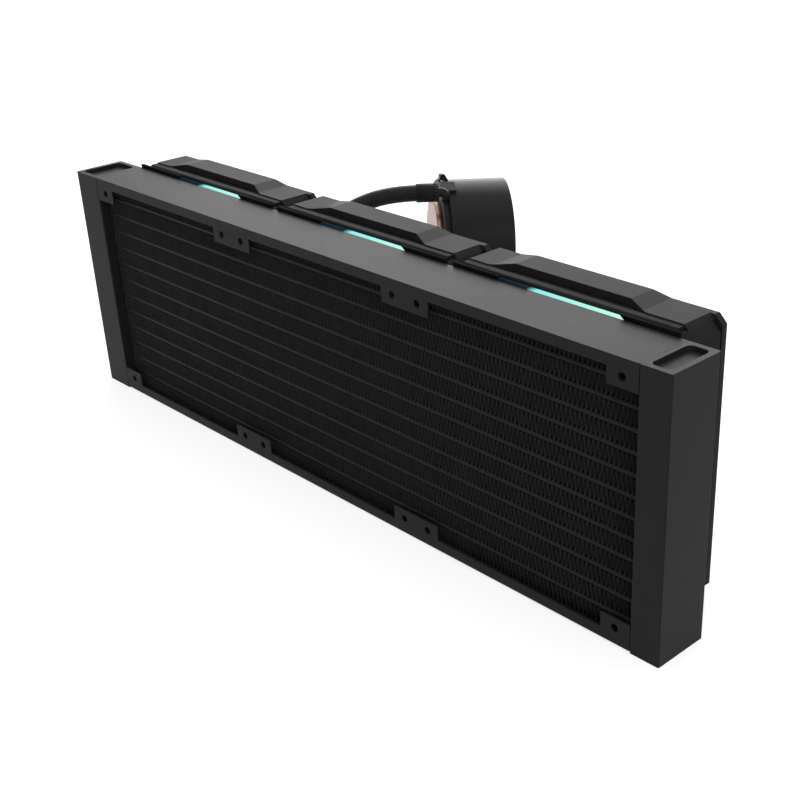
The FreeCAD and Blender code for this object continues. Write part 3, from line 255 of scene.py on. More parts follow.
def slab(outline: Array, low: float, high: float, edge: float, place: Place) -> Patch:
    """A prism with rounded rims: the outline is stacked at levels, drawn in by a quarter ellipse near both ends.

    Args:
        outline: Closed outline, two numbers each, anticlockwise.
        low: Local z where it starts.
        high: Local z where it ends.
        edge: Radius of the rims.
        place: Local frame.

    Returns:
        The closed surface.
    """
    ahead = unit(np.roll(outline, -1, axis=0) - outline)
    back = unit(outline - np.roll(outline, 1, axis=0))
    normal = np.stack([ahead[:, 1] + back[:, 1], -(ahead[:, 0] + back[:, 0])], axis=1)
    normal = normal / np.maximum((normal**2).sum(axis=1, keepdims=True) / 2, 0.5)
    turn = np.linspace(0, math.pi / 2, RIM_LEVELS)
    inset = np.concatenate([edge * (1 - np.sin(turn)), edge * (1 - np.sin(turn[::-1]))])
    level = np.concatenate([low + edge * (1 - np.cos(turn)), high - edge * (1 - np.cos(turn[::-1]))])
    rings = outline[None] - inset[:, None, None] * normal[None]
    points = np.concatenate([rings, np.broadcast_to(level[:, None, None], (*rings.shape[:2], 1))], axis=2)
    return Patch.grid(place.put(points), close_cols=True, caps=True)


def tube(path: Array, radius: float, steps: int) -> Patch:
    """A closed round tube: circles of the given radius stood square to the path, turned as little as possible.

    Each circle's first direction is the start direction with the part along the tangent taken out.

    Args:
        path: Points of the centre line.
        radius: Radius of the tube.
        steps: Points round the tube.

    Returns:
        The surface.
    """
    tangent = unit(np.gradient(path, axis=0))
    guide = np.cross(tangent[0], tangent[-1])
    nearly_straight = np.linalg.norm(guide) < 0.2
    guide = UP if nearly_straight else guide
    first = unit(guide[None] - (tangent @ guide)[:, None] * tangent)
    second = np.cross(tangent, first)
    angle = np.linspace(0, math.tau, steps, endpoint=False)[None, :, None]
    rings = path[:, None] + radius * (np.cos(angle) * first[:, None] + np.sin(angle) * second[:, None])
    return Patch.grid(rings, close_cols=True, caps=True)


def mesh_object(name: str, patch: Patch, sharp: float = 35.0, weld: float = 2e-6) -> bpy.types.Object:
    """Makes a surface an object, with doubles merged and faces pointing outwards.

    Args:
        name: Name of the object.
        patch: The surface.
        sharp: Angle in degrees past which an edge stays sharp.
        weld: Distance under which points are merged.

    Returns:
        The object, linked to the scene.
    """
    mesh = bpy.data.meshes.new(name)
    mesh.from_pydata(patch.points.tolist(), [], patch.faces)
    work = bmesh.new()
    work.from_mesh(mesh)
    bmesh.ops.remove_doubles(work, verts=work.verts, dist=weld)
    bmesh.ops.recalc_face_normals(work, faces=work.faces)
    work.to_mesh(mesh)
    work.free()
    mesh.shade_smooth()
    mesh.set_sharp_from_angle(angle=math.radians(sharp))
    item = bpy.data.objects.new(name, mesh)
    bpy.context.scene.collection.objects.link(item)
    return item


# Finishes


def put(node: bpy.types.Node, values: dict[str | int, float | Sequence[float]]) -> bpy.types.Node:
    """Sets a node's inputs.

    Args:
        node: The node.
        values: Value of each input, by its name or number.

    Returns:
        The node.
    """
    for key, value in values.items():
        node.inputs[key].default_value = value
    return node


def solid(color: Sequence[float], factor: float = 1.0) -> tuple[float, ...]:
    """A colour as a socket takes it: each channel times the factor, at most 1, and full opacity."""
    return (*(min(1.0, c * factor) for c in color), 1.0)


def blank(name: str) -> tuple[bpy.types.Material, bpy.types.NodeTree, bpy.types.Node]:
    """A new material, with its node tree and its shader."""
    item = bpy.data.materials.new(name)
    item.use_nodes = True
    return item, item.node_tree, item.node_tree.nodes["Principled BSDF"]


def blend(tree: bpy.types.NodeTree, low: Sequence[float], high: Sequence[float],
          share: bpy.types.NodeSocket) -> bpy.types.NodeSocket:
    """A colour between two, as the share says.

    Args:
        tree: The node tree.
        low: Colour at share 0.
        high: Colour at share 1.
        share: The output that gives the share.

    Returns:
        The colour's output.
    """
    mix = tree.nodes.new("ShaderNodeMix")
    mix.data_type = "RGBA"
    put(mix, {"A": low, "B": high})
    tree.links.new(share, mix.inputs["Factor"])
    return mix.outputs["Result"]


class Groups:
    """Shader node groups that several finishes share, built once."""

    _built: dict[str, bpy.types.NodeTree] = {}

    @classmethod
    def get(cls, name: str, build: Callable[[bpy.types.NodeTree], None]) -> bpy.types.NodeTree:
        """The group of this name, built on first use."""
        if name not in cls._built:
            tree = bpy.data.node_groups.new(name, "ShaderNodeTree")
            build(tree)
            cls._built[name] = tree
        return cls._built[name]

    @staticmethod
    def sockets(
        tree: bpy.types.NodeTree, inputs: dict[str, float], outputs: Sequence[str]
    ) -> tuple[bpy.types.Node, bpy.types.Node]:
        """Gives a group its sockets.

        Args:
            tree: The group.
            inputs: Name and default of each number input.
            outputs: Names of the number outputs.

        Returns:
            The group's input and output node.
        """
        tree.interface.new_socket("Vector", in_out="INPUT", socket_type="NodeSocketVector")
        for name, value in inputs.items():
            socket = tree.interface.new_socket(name, in_out="INPUT", socket_type="NodeSocketFloat")
            socket.default_value = value
        for name in outputs:
            tree.interface.new_socket(name, in_out="OUTPUT", socket_type="NodeSocketFloat")
        return tree.nodes.new("NodeGroupInput"), tree.nodes.new("NodeGroupOutput")


def grain_group(tree: bpy.types.NodeTree) -> None:
    """Fine moulded or sprayed grain: a height, and a slow mottling for colour and roughness."""
    defaults = {"Grain Scale": 2500.0, "Mottle Scale": 40.0, "Sharpness": 0.5}
    ins, outs = Groups.sockets(tree, defaults, ["Height", "Mottle"])
    grain = put(tree.nodes.new("ShaderNodeTexNoise"), {"Detail": 3.0})
    mottle = put(tree.nodes.new("ShaderNodeTexNoise"), {"Detail": 5.0})
    tree.links.new(ins.outputs["Vector"], grain.inputs["Vector"])
    tree.links.new(ins.outputs["Grain Scale"], grain.inputs["Scale"])
    tree.links.new(ins.outputs["Sharpness"], grain.inputs["Roughness"])
    tree.links.new(ins.outputs["Vector"], mottle.inputs["Vector"])
    tree.links.new(ins.outputs["Mottle Scale"], mottle.inputs["Scale"])
    tree.links.new(grain.outputs["Fac"], outs.inputs["Height"])
    tree.links.new(mottle.outputs["Fac"], outs.inputs["Mottle"])


def scratch_group(tree: bpy.types.NodeTree) -> None:
    """Fine parallel lines: noise stretched along the vector's X."""
    ins, outs = Groups.sockets(tree, {"Line Scale": 900.0, "Stretch": 0.02}, ["Lines"])
    squeeze = tree.nodes.new("ShaderNodeVectorMath")
    squeeze.operation = "MULTIPLY"
    factor = put(tree.nodes.new("ShaderNodeCombineXYZ"), {"Y": 1.0, "Z": 1.0})
    lines = put(tree.nodes.new("ShaderNodeTexNoise"), {"Detail": 2.0})
    tree.links.new(ins.outputs["Stretch"], factor.inputs["X"])
    tree.links.new(ins.outputs["Vector"], squeeze.inputs[0])
    tree.links.new(factor.outputs[0], squeeze.inputs[1])
    tree.links.new(squeeze.outputs[0], lines.inputs["Vector"])
    tree.links.new(ins.outputs["Line Scale"], lines.inputs["Scale"])
    tree.links.new(lines.outputs["Fac"], outs.inputs["Lines"])


class Texture(Enum):
    """What a finish's fine relief is."""

    GRAIN = "grain"
    BRUSHED = "brushed"


@dataclass(frozen=True)
class Finish:
    """A surface finish: base values, with mottled colour and roughness and a fine relief."""

    name: str
    color: Color
    roughness: float = 0.5
    metallic: float = 0.0
    texture: Texture = Texture.GRAIN
    grain: float = 2500.0
    relief: float = 0.05
    mottle: float = 40.0
    color_spread: float = 0.10
    rough_spread: float = 0.10
    coat: float = 0.0
    sheen: float = 0.0
    specular: float = 0.10

    def material(self) -> bpy.types.Material:
        """Builds the finish's material, or gives the one built before."""
        name = f"dressed_{self.name}"
        if name in bpy.data.materials:
            return bpy.data.materials[name]
        item, tree, shader = blank(name)
        nodes, links = tree.nodes, tree.links
        put(shader, {"Metallic": self.metallic, "Coat Weight": self.coat, "Coat Roughness": COAT_ROUGHNESS,
                     "Sheen Weight": self.sheen, "Specular IOR Level": self.specular})
        where = nodes.new("ShaderNodeTexCoord")
        grain = nodes.new("ShaderNodeGroup")
        grain.node_tree = Groups.get("Grain", grain_group)
        put(grain, {"Grain Scale": self.grain, "Mottle Scale": self.mottle})
        links.new(where.outputs["Object"], grain.inputs["Vector"])
        height = grain.outputs["Height"]
        if self.texture is Texture.BRUSHED:
            lines = nodes.new("ShaderNodeGroup")
            lines.node_tree = Groups.get("Lines", scratch_group)
            links.new(where.outputs["Object"], lines.inputs["Vector"])
            height = lines.outputs["Lines"]
        dark, light = solid(self.color, 1 - self.color_spread), solid(self.color, 1 + self.color_spread)
        links.new(blend(tree, dark, light, grain.outputs["Mottle"]), shader.inputs["Base Color"])
        rough = put(nodes.new("ShaderNodeMapRange"), {"To Min": max(SMOOTHEST, self.roughness - self.rough_spread),
                                                      "To Max": min(1.0, self.roughness + self.rough_spread)})
        links.new(height, rough.inputs["Value"])
        links.new(rough.outputs["Result"], shader.inputs["Roughness"])
        bump = put(nodes.new("ShaderNodeBump"), {"Strength": self.relief, "Distance": RELIEF_DEPTH})
        links.new(height, bump.inputs["Height"])
        links.new(bump.outputs["Normal"], shader.inputs["Normal"])
        return item


def srgb(grey: float, tint: Color = (1.0, 1.0, 1.0)) -> Color:
    """Linear colour for a grey written from 0 to 255.

    Args:
        grey: The grey, 0 to 255.
        tint: Factor on each channel.

    Returns:
        The linear colour.
    """
    value = grey / 255
    linear = value / 12.92 if value <= 0.04045 else ((value + 0.055) / 1.055) ** 2.4
    return (linear * tint[0], linear * tint[1], linear * tint[2])


RADIATOR_COAT = Finish("radiator_coat", srgb(36), 0.50, grain=1800, relief=0.10, color_spread=0.06, specular=0.08)
TUBE_COAT = Finish("tube_coat", srgb(44), 0.50, grain=1500, relief=0.10, color_spread=0.12, specular=0.05)
FIN_COAT = Finish("fin_coat", srgb(62), 0.45, grain=1500, relief=0.10, mottle=120, color_spread=0.25)
FRAME_PLASTIC = Finish("frame_plastic", srgb(38), 0.55, grain=3200, relief=0.18, specular=0.02)
# Finish of the near-black strips beside the lights: painted shade laid in the channel behind the radiator, where
# there is only shade.
CHANNEL_SHADE_BLACK = Finish("painted_channel_shade", srgb(22), 0.75, grain=3600, relief=0.12, specular=0.01)
BEZEL_PLASTIC = Finish("bezel_plastic", srgb(40), 0.52, grain=3200, relief=0.15, specular=0.035)
ROTOR_PLASTIC = Finish("rotor_plastic", srgb(32, (1.0, 1.0, 1.03)), 0.38, grain=2600, relief=0.08, specular=0.2)
SCREW_BLACK = Finish("screw_black", srgb(46), 0.36, 0.6, grain=4000, relief=0.05)
HOUSING_COAT = Finish("housing_coat", srgb(34), 0.36, grain=2600, relief=0.08, color_spread=0.05, specular=0.06)
LID_GLOSS = Finish("lid_gloss", srgb(22), 0.10, coat=0.6, rough_spread=0.03, color_spread=0.04, specular=0.4)
RING_PLASTIC = Finish("ring_plastic", srgb(34), 0.42, grain=3000, relief=0.12, specular=0.05)
PUMP_PLASTIC = Finish("pump_plastic", srgb(50), 0.55, specular=0.3)
IMPELLER_PLASTIC = Finish("impeller_plastic", srgb(200), 0.45, specular=0.5)
COPPER = Finish(
    "copper_plate", (0.28, 0.175, 0.145), 0.36, 1.0, Texture.BRUSHED, relief=0.10, rough_spread=0.08, mottle=90
)
BRONZE = Finish("bearing_bronze", (0.55, 0.36, 0.14), 0.35, 1.0)
STEEL = Finish("shaft_steel", (0.60, 0.61, 0.63), 0.24, 1.0, Texture.BRUSHED)
MAGNET = Finish("magnet_ferrite", srgb(70), 0.60)
BOARD = Finish("board_laminate", (0.012, 0.09, 0.035), 0.40, grain=900, relief=0.10, specular=0.4)
WINDING = Finish("winding_stack", (0.42, 0.17, 0.06), 0.35, 0.8, Texture.BRUSHED)
RUBBER = Finish("seal_rubber", srgb(36), 0.70, sheen=0.1)
FITTING = Finish("fitting_black", srgb(32), 0.36, grain=3500, relief=0.06, specular=0.08)
COLLAR = Finish("collar_black", srgb(30), 0.42, grain=3000, relief=0.10, specular=0.06)


@dataclass(frozen=True)
class LightFinish:
    """A light guide that glows from one place along X to its right end, and faintly before it.

    The glow starts at the fan's own place, put off by the delay, and rises over a short stretch.
    """

    fan: Fan
    name: str = "light_guide"
    body: Color = (0.012, 0.014, 0.015)
    left_end: Color = (0.0, 0.004, 0.010)
    bright: Color = (0.28, 0.86, 0.86)
    far: Color = (0.60, 1.0, 0.80)
    dim: Color = (0.004, 0.020, 0.034)
    delay: float = 0.0
    reach: float = 34.0 * MM
    rise_before: float = 0.02
    rise_after: float = 0.05

    def material(self) -> bpy.types.Material:
        """Builds the light's material, or gives the one built before: emission follows Object X."""
        name = f"{self.name}_{self.fan.label}_{round(self.delay / MM)}"
        if name in bpy.data.materials:
            return bpy.data.materials[name]
        item, tree, shader = blank(name)
        nodes, links = tree.nodes, tree.links
        put(shader, {"Base Color": solid(self.body), "Roughness": 0.35, "Specular IOR Level": 0.0,
                     "Emission Strength": 1.0})
        where = nodes.new("ShaderNodeTexCoord")
        split = nodes.new("ShaderNodeSeparateXYZ")
        links.new(where.outputs["Object"], split.inputs[0])
        along = put(nodes.new("ShaderNodeMapRange"), {"From Min": self.fan.centre - self.reach,
                                                      "From Max": self.fan.centre + self.reach})
        links.new(split.outputs["X"], along.inputs["Value"])
        ramp = nodes.new("ShaderNodeValToRGB")
        share = (self.fan.bright_from + self.delay + self.reach) / (2 * self.reach)
        stops = ramp.color_ramp.elements
        stops[0].color, stops[1].color = solid(self.left_end), solid(self.far)
        stops.new(share - self.rise_before).color = solid(self.dim)
        stops.new(share + self.rise_after).color = solid(self.bright)
        links.new(along.outputs["Result"], ramp.inputs["Fac"])
        links.new(ramp.outputs["Color"], shader.inputs["Emission Color"])
        return item


@dataclass(frozen=True)
class SleeveFinish:
    """A braided sleeve: two crossing sets of strands that follow the tube's own UV map, its colour darker in the
    weave's valleys as painted shade and lighter on its crests as painted highlight.
    """

    name: str = "hose_sleeve"
    color: Color = srgb(34)
    strands: float = 40.0
    pitch: float = 220.0
    valley: float = 0.88
    crest: float = 1.12
    relief: float = 0.10
    relief_depth: float = 0.2 * MM

    def material(self) -> bpy.types.Material:
        """Builds the sleeve's material: bump from two wave patterns crossing on the UV map, and a colour from the
        same pattern that paints shade into the valleys and highlight onto the crests.
        """
        item, tree, shader = blank(self.name)
        nodes, links = tree.nodes, tree.links
        put(shader, {"Roughness": 0.45, "Specular IOR Level": 0.08})
        uv = nodes.new("ShaderNodeUVMap")
        uv.uv_map = "UVMap"
        split = nodes.new("ShaderNodeSeparateXYZ")
        links.new(uv.outputs["UV"], split.inputs[0])
        weave = nodes.new("ShaderNodeMath")
        weave.operation = "MULTIPLY"
        for number, sign in enumerate((1.0, -1.0)):
            across, along, wave = (nodes.new("ShaderNodeMath") for _ in range(3))
            across.operation, along.operation, wave.operation = "MULTIPLY", "MULTIPLY_ADD", "SINE"
            put(across, {1: self.strands * math.tau})
            put(along, {1: sign * self.pitch * math.tau})
            links.new(split.outputs["X"], across.inputs[0])
            links.new(split.outputs["Y"], along.inputs[0])
            links.new(across.outputs[0], along.inputs[2])
            links.new(along.outputs[0], wave.inputs[0])
            links.new(wave.outputs[0], weave.inputs[number])
        level = put(nodes.new("ShaderNodeMapRange"), {"From Min": -1.0})
        links.new(weave.outputs[0], level.inputs["Value"])
        height = level.outputs["Result"]
        # Painted shade and highlight: the colour follows the weave's height, darker in its valleys and lighter on
        # its crests.
        tint = blend(tree, solid(self.color, self.valley), solid(self.color, self.crest), height)
        links.new(tint, shader.inputs["Base Color"])
        bump = put(nodes.new("ShaderNodeBump"), {"Strength": self.relief, "Distance": self.relief_depth})
        links.new(height, bump.inputs["Height"])
        links.new(bump.outputs["Normal"], shader.inputs["Normal"])
        return item


def dress(item: bpy.types.Object, finish: Finish | LightFinish | SleeveFinish) -> None:
    """Gives an object one finish."""
    item.data.materials.clear()
    item.data.materials.append(finish.material())


@dataclass
class Kit:
    """What every sub-assembly needs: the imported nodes, and how a piece is put on the part."""

    nodes: dict[str, bpy.types.Object]

    def carry(self, node: str, finish: Finish | LightFinish, edge: float = 0.0, steps: int = 2) -> None:
        """Keeps a CAD node, with a finish and, where edge is given, softened edges.

        Args:
            node: Name of the node.
            finish: Its finish.
            edge: Width of the softened edges, or 0.
            steps: Segments across each edge.
        """
        item = self.nodes[node]
        dress(item, finish)
        if edge > 0:
            weld = item.modifiers.new("weld", "WELD")
            weld.merge_threshold = WELD_REACH
            bevel = item.modifiers.new("edges", "BEVEL")
            bevel.width = edge
            bevel.segments = steps
            bevel.limit_method = "ANGLE"
            bevel.angle_limit = EDGE_ANGLE
            bevel.harden_normals = True
        log.info("carried %s", node)

    def add(self, item: bpy.types.Object, body: str, slot: str, finish: Finish | LightFinish | SleeveFinish,
            *nodes: str) -> bpy.types.Object:
        """Puts a new piece on a body in place of CAD nodes.

        Args:
            item: The piece.
            body: The body that it rides on.
            slot: Name of a material slot; not used.
            finish: Its finish.
            *nodes: The CAD nodes that it stands for.

        Returns:
            The piece.
        """
        dress(item, finish)
        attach(item, body)
        if nodes:
            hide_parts(*nodes)
        log.info("made %s: %d faces", item.name, len(item.data.polygons))
        return item


# Radiator


@dataclass
class Radiator:
    """Tanks, rails, coolant tubes and folded fins."""

    kit: Kit
    depth: float = 27.0 * MM
    core_half: float = 180.0 * MM
    rail_inside: float = 58.7 * MM
    recess: float = 5.3 * MM
    tube_half: float = 0.95 * MM
    lowest_tube: float = -50.4 * MM
    tube_pitch: float = 9.0 * MM
    tubes: int = 12
    fin_inset: float = 0.6 * MM
    fin_period: float = 2.25 * MM
    fin_sheet: float = 0.30 * MM
    fin_proud: float = 0.25 * MM
    fold_gain: float = 1.16
    fold_steps: int = 8

    def build(self) -> None:
        """Makes the folded fins and dresses the rest."""
        self.fins()
        for node in ("left_tank", "right_tank"):
            self.kit.carry(node, RADIATOR_COAT, 0.35 * MM, 3)
        for node in ("top_rail", "bottom_rail"):
            self.kit.carry(node, RADIATOR_COAT, 0.15 * MM, 2)
        self.kit.carry("tank_end_plates", RADIATOR_COAT, 0.15 * MM, 1)
        self.kit.carry("coolant_tubes", TUBE_COAT, 0.8 * MM, 4)

    def strip(self, low: float, high: float) -> Patch:
        """One folded strip.

        Along X the fold is a triangle wave with flat crests: at phase p the height is the triangle wave
        times the gain, clipped to the room between the tube below and the tube above. The section
        across the sheet is a thin rectangle that runs from the front of the core to its back.

        Args:
            low: Height of the surface under the strip.
            high: Height of the surface over it.

        Returns:
            The closed strip.
        """
        length = 2 * (self.core_half - self.fin_inset)
        periods = round(length / self.fin_period)
        phase = np.linspace(0, periods, periods * self.fold_steps + 1)
        wave = np.clip(self.fold_gain * (1 - 4 * np.abs((phase % 1.0) - 0.5)), -1, 1)
        x = -length / 2 + phase / periods * length
        middle, reach = (low + high) / 2, (high - low - self.fin_sheet) / 2
        z = middle + reach * wave
        near, far = self.recess - self.fin_proud, self.depth - self.recess + self.fin_proud
        half = self.fin_sheet / 2
        ring = np.stack([
            np.stack([x, np.full_like(x, y), z + lift * half], axis=1)
            for y, lift in ((near, -1), (far, -1), (far, 1), (near, 1))
        ], axis=1)
        return Patch.grid(ring, close_cols=True, caps=True)

    def fins(self) -> None:
        """Makes every strip at its real pitch."""
        centre = self.lowest_tube + self.tube_pitch * np.arange(self.tubes)
        lows = np.concatenate([[-self.rail_inside], centre + self.tube_half])
        highs = np.concatenate([centre - self.tube_half, [self.rail_inside]])
        strips = Patch.join(self.strip(a, b) for a, b in zip(lows, highs))
        item = mesh_object("folded_fins", strips, 50, 1e-8)
        self.kit.add(item, "cooler", "core_coat", FIN_COAT, "fin_strips")


# Fans


@dataclass
class FanUnit:
    """One fan: frame, outer plate, light bars, near-black strips of painted shade behind the radiator, impeller and
    motor.
    """

    kit: Kit
    fan: Fan
    blades: int = 9
    hub_radius: float = 19.0 * MM
    tip_radius: float = 53.0 * MM
    hub_back: float = 31.8 * MM
    hub_front: float = 50.0 * MM
    hub_wall: float = 1.6 * MM
    blade_back: float = 32.6 * MM
    blade_front: float = 49.2 * MM
    frame_top: float = 58.0 * MM
    frame_left: float = 59.4 * MM
    frame_right: float = 56.1 * MM
    light_end: float = 32.8 * MM
    light_slant: float = 4.5 * MM
    strip_near: float = 27.1 * MM
    strip_far: float = 28.5 * MM
    strip_height: float = 3.4 * MM
    strip_sink: float = 0.05 * MM
    strip_corner: float = 0.3 * MM
    strip_rim: float = 0.2 * MM
    guide_length: float = 14.0 * MM
    guide_overlap: float = 1.5 * MM
    guide_drop: float = 0.7 * MM
    guide_delay: float = 3.5 * MM
    blade_thickness: float = 0.85 * MM
    blade_camber: float = 0.10
    tip_gap: float = 0.1 * MM
    boss_radius: float = 4.0 * MM
    boss_depth: float = 4.8 * MM
    shaft_bore: float = 1.52 * MM

    def build(self) -> None:
        """Makes the impeller and the strips, and dresses the rest."""
        self.rotor()
        self.strips()
        shell = {"frame": (FRAME_PLASTIC, 0.35 * MM), "bezel": (BEZEL_PLASTIC, 0.4 * MM),
                 "lights": (LightFinish(self.fan), 0.2 * MM)}
        for piece, (finish, edge) in shell.items():
            self.kit.carry(f"{self.fan.label}_fan_{piece}", finish, edge)
        motor = {"magnet": MAGNET, "shaft": STEEL, "bearing": BRONZE, "stator": WINDING, "board": BOARD}
        for piece, finish in motor.items():
            self.kit.carry(f"{self.fan.label}_fan_{piece}", finish)

    def strip(self, name: str, corners: Sequence[Sequence[float]]) -> bpy.types.Object:
        """Makes a strip that stands on the frame's top, close behind the radiator.

        It is a prism along Y over an outline in X and Z.

        Args:
            name: Name of the strip.
            corners: Its outline, X from the fan's axis and height over the frame's top.

        Returns:
            The strip.
        """
        place = Place((self.fan.centre, 0.0, self.frame_top), (1.0, 0.0, 0.0), (0.0, 0.0, 1.0), (0.0, -1.0, 0.0))
        outline = softened(corners, self.strip_corner, 2)
        return mesh_object(name, slab(outline, -self.strip_far, -self.strip_near, self.strip_rim, place), 40)

    def strips(self) -> None:
        """Makes the near-black strips beside the light, painted shade for the channel behind the radiator, and the
        unlit stretch of light guide before it.
        """
        label, low, high = self.fan.label, -self.strip_sink, self.strip_height
        start, stop = -self.frame_left, self.frame_right
        unlit, lit = self.fan.bright_from - self.guide_length, self.fan.bright_from
        crest = high - self.guide_drop
        left = [(start, low), (unlit, low), (unlit, high), (start, high)]
        guide = [(unlit, low), (lit, low), (lit + self.guide_overlap, crest), (unlit, crest)]
        right = [(self.light_end, low), (stop, low), (stop, high), (self.light_end - self.light_slant, high)]
        glow = LightFinish(self.fan, delay=self.guide_delay)
        # The two near-black strips are painted shade: dark pieces laid in the channel behind the radiator, where
        # there is only shade.
        self.kit.add(self.strip(f"{label}_left_seal", left), "cooler", "seal_rubber", CHANNEL_SHADE_BLACK)
        self.kit.add(self.strip(f"{label}_guide", guide), "cooler", "light_guide", glow)
        self.kit.add(self.strip(f"{label}_right_seal", right), "cooler", "seal_rubber", CHANNEL_SHADE_BLACK)

    def blade(self, angle: float) -> Patch:
        """One swept blade as a closed skin.

        At span share s the radius runs from hub to tip and the sweep angle, chord and height follow
        smooth curves of s. Round the section, parameter t goes over the upper skin and back under the
        lower one; the camber is a parabola and the thickness a half ellipse drawn to a fine tail.

        Args:
            angle: Angle of the blade's root in radians.

        Returns:
            The blade.
        """
        s = np.linspace(0, 1, 13)[:, None]
        hub = self.hub_radius - self.hub_wall * 0.5
        radius = hub + (self.tip_radius - self.tip_gap - hub) * s
        sweep = np.radians(11.0 * s + 6.0 * s**2)
        chord = (10.5 + 19.5 * s + 3.0 * s**2) * MM
        rise = (self.blade_front - self.blade_back) / 2 * (0.86 + 0.26 * s - 0.12 * s**2)
        t = np.linspace(0, 1, 15)[None]
        share = 0.5 * (1 - np.cos(math.pi * t))
        belly = 4 * share * (1 - share)
        thick = self.blade_thickness * np.sqrt(np.clip(belly, 0, 1)) ** 0.7 * (1.15 - 0.5 * share)
        bow = self.blade_camber * chord * belly
        across, along = chord * (share - 0.5), rise * (2 * share - 1)
        length = np.hypot(chord, 2 * rise)
        side_x, side_y = -2 * rise / length, chord / length
        skins = []
        for lift, order in ((1.0, slice(None)), (-1.0, slice(None, None, -1))):
            off = bow + lift * thick
            skins.append(np.stack([across + side_x * off, along + side_y * off], axis=-1)[:, order])
        section = np.concatenate([skins[0][:, :-1], skins[1][:, :-1]], axis=1)
        turn = angle + sweep - section[..., 0] / radius
        middle = (self.blade_back + self.blade_front) / 2
        level = np.clip(middle + section[..., 1], self.blade_back, self.blade_front)
        points = np.stack([radius * np.cos(turn), level, -radius * np.sin(turn)], axis=-1)
        return Patch.grid(points + np.array([self.fan.centre, 0, 0]), close_cols=True, caps=True)

    def rotor(self) -> None:
        """Makes the hub cup and its blades."""
        back, front, rim = self.hub_back, self.hub_front, self.hub_radius
        inside, under, foot = rim - self.hub_wall, front - self.hub_wall, front - self.boss_depth
        boss, bore = self.boss_radius, self.shaft_bore
        profile = softened([
            (0.0, front), (rim, front), (rim, back), (inside, back), (inside, under), (boss, under), (boss, foot),
            (bore, foot), (bore, under), (0.0, under),
        ], [0, 1.6 * MM, 0.3 * MM, 0.3 * MM, 0.4 * MM, 0.4 * MM, 0.3 * MM, 0, 0, 0], 4)
        place = Place.along((self.fan.centre, 0, 0), (0, 1, 0))
        cup = lathe(profile, place, 96)
        blades = [self.blade(math.tau * i / self.blades) for i in range(self.blades)]
        item = mesh_object(f"{self.fan.label}_impeller", Patch.join([cup, *blades]), 40)
        self.kit.add(item, f"{self.fan.label}_rotor", "rotor_plastic", ROTOR_PLASTIC, f"{self.fan.label}_fan_rotor")


# Pump


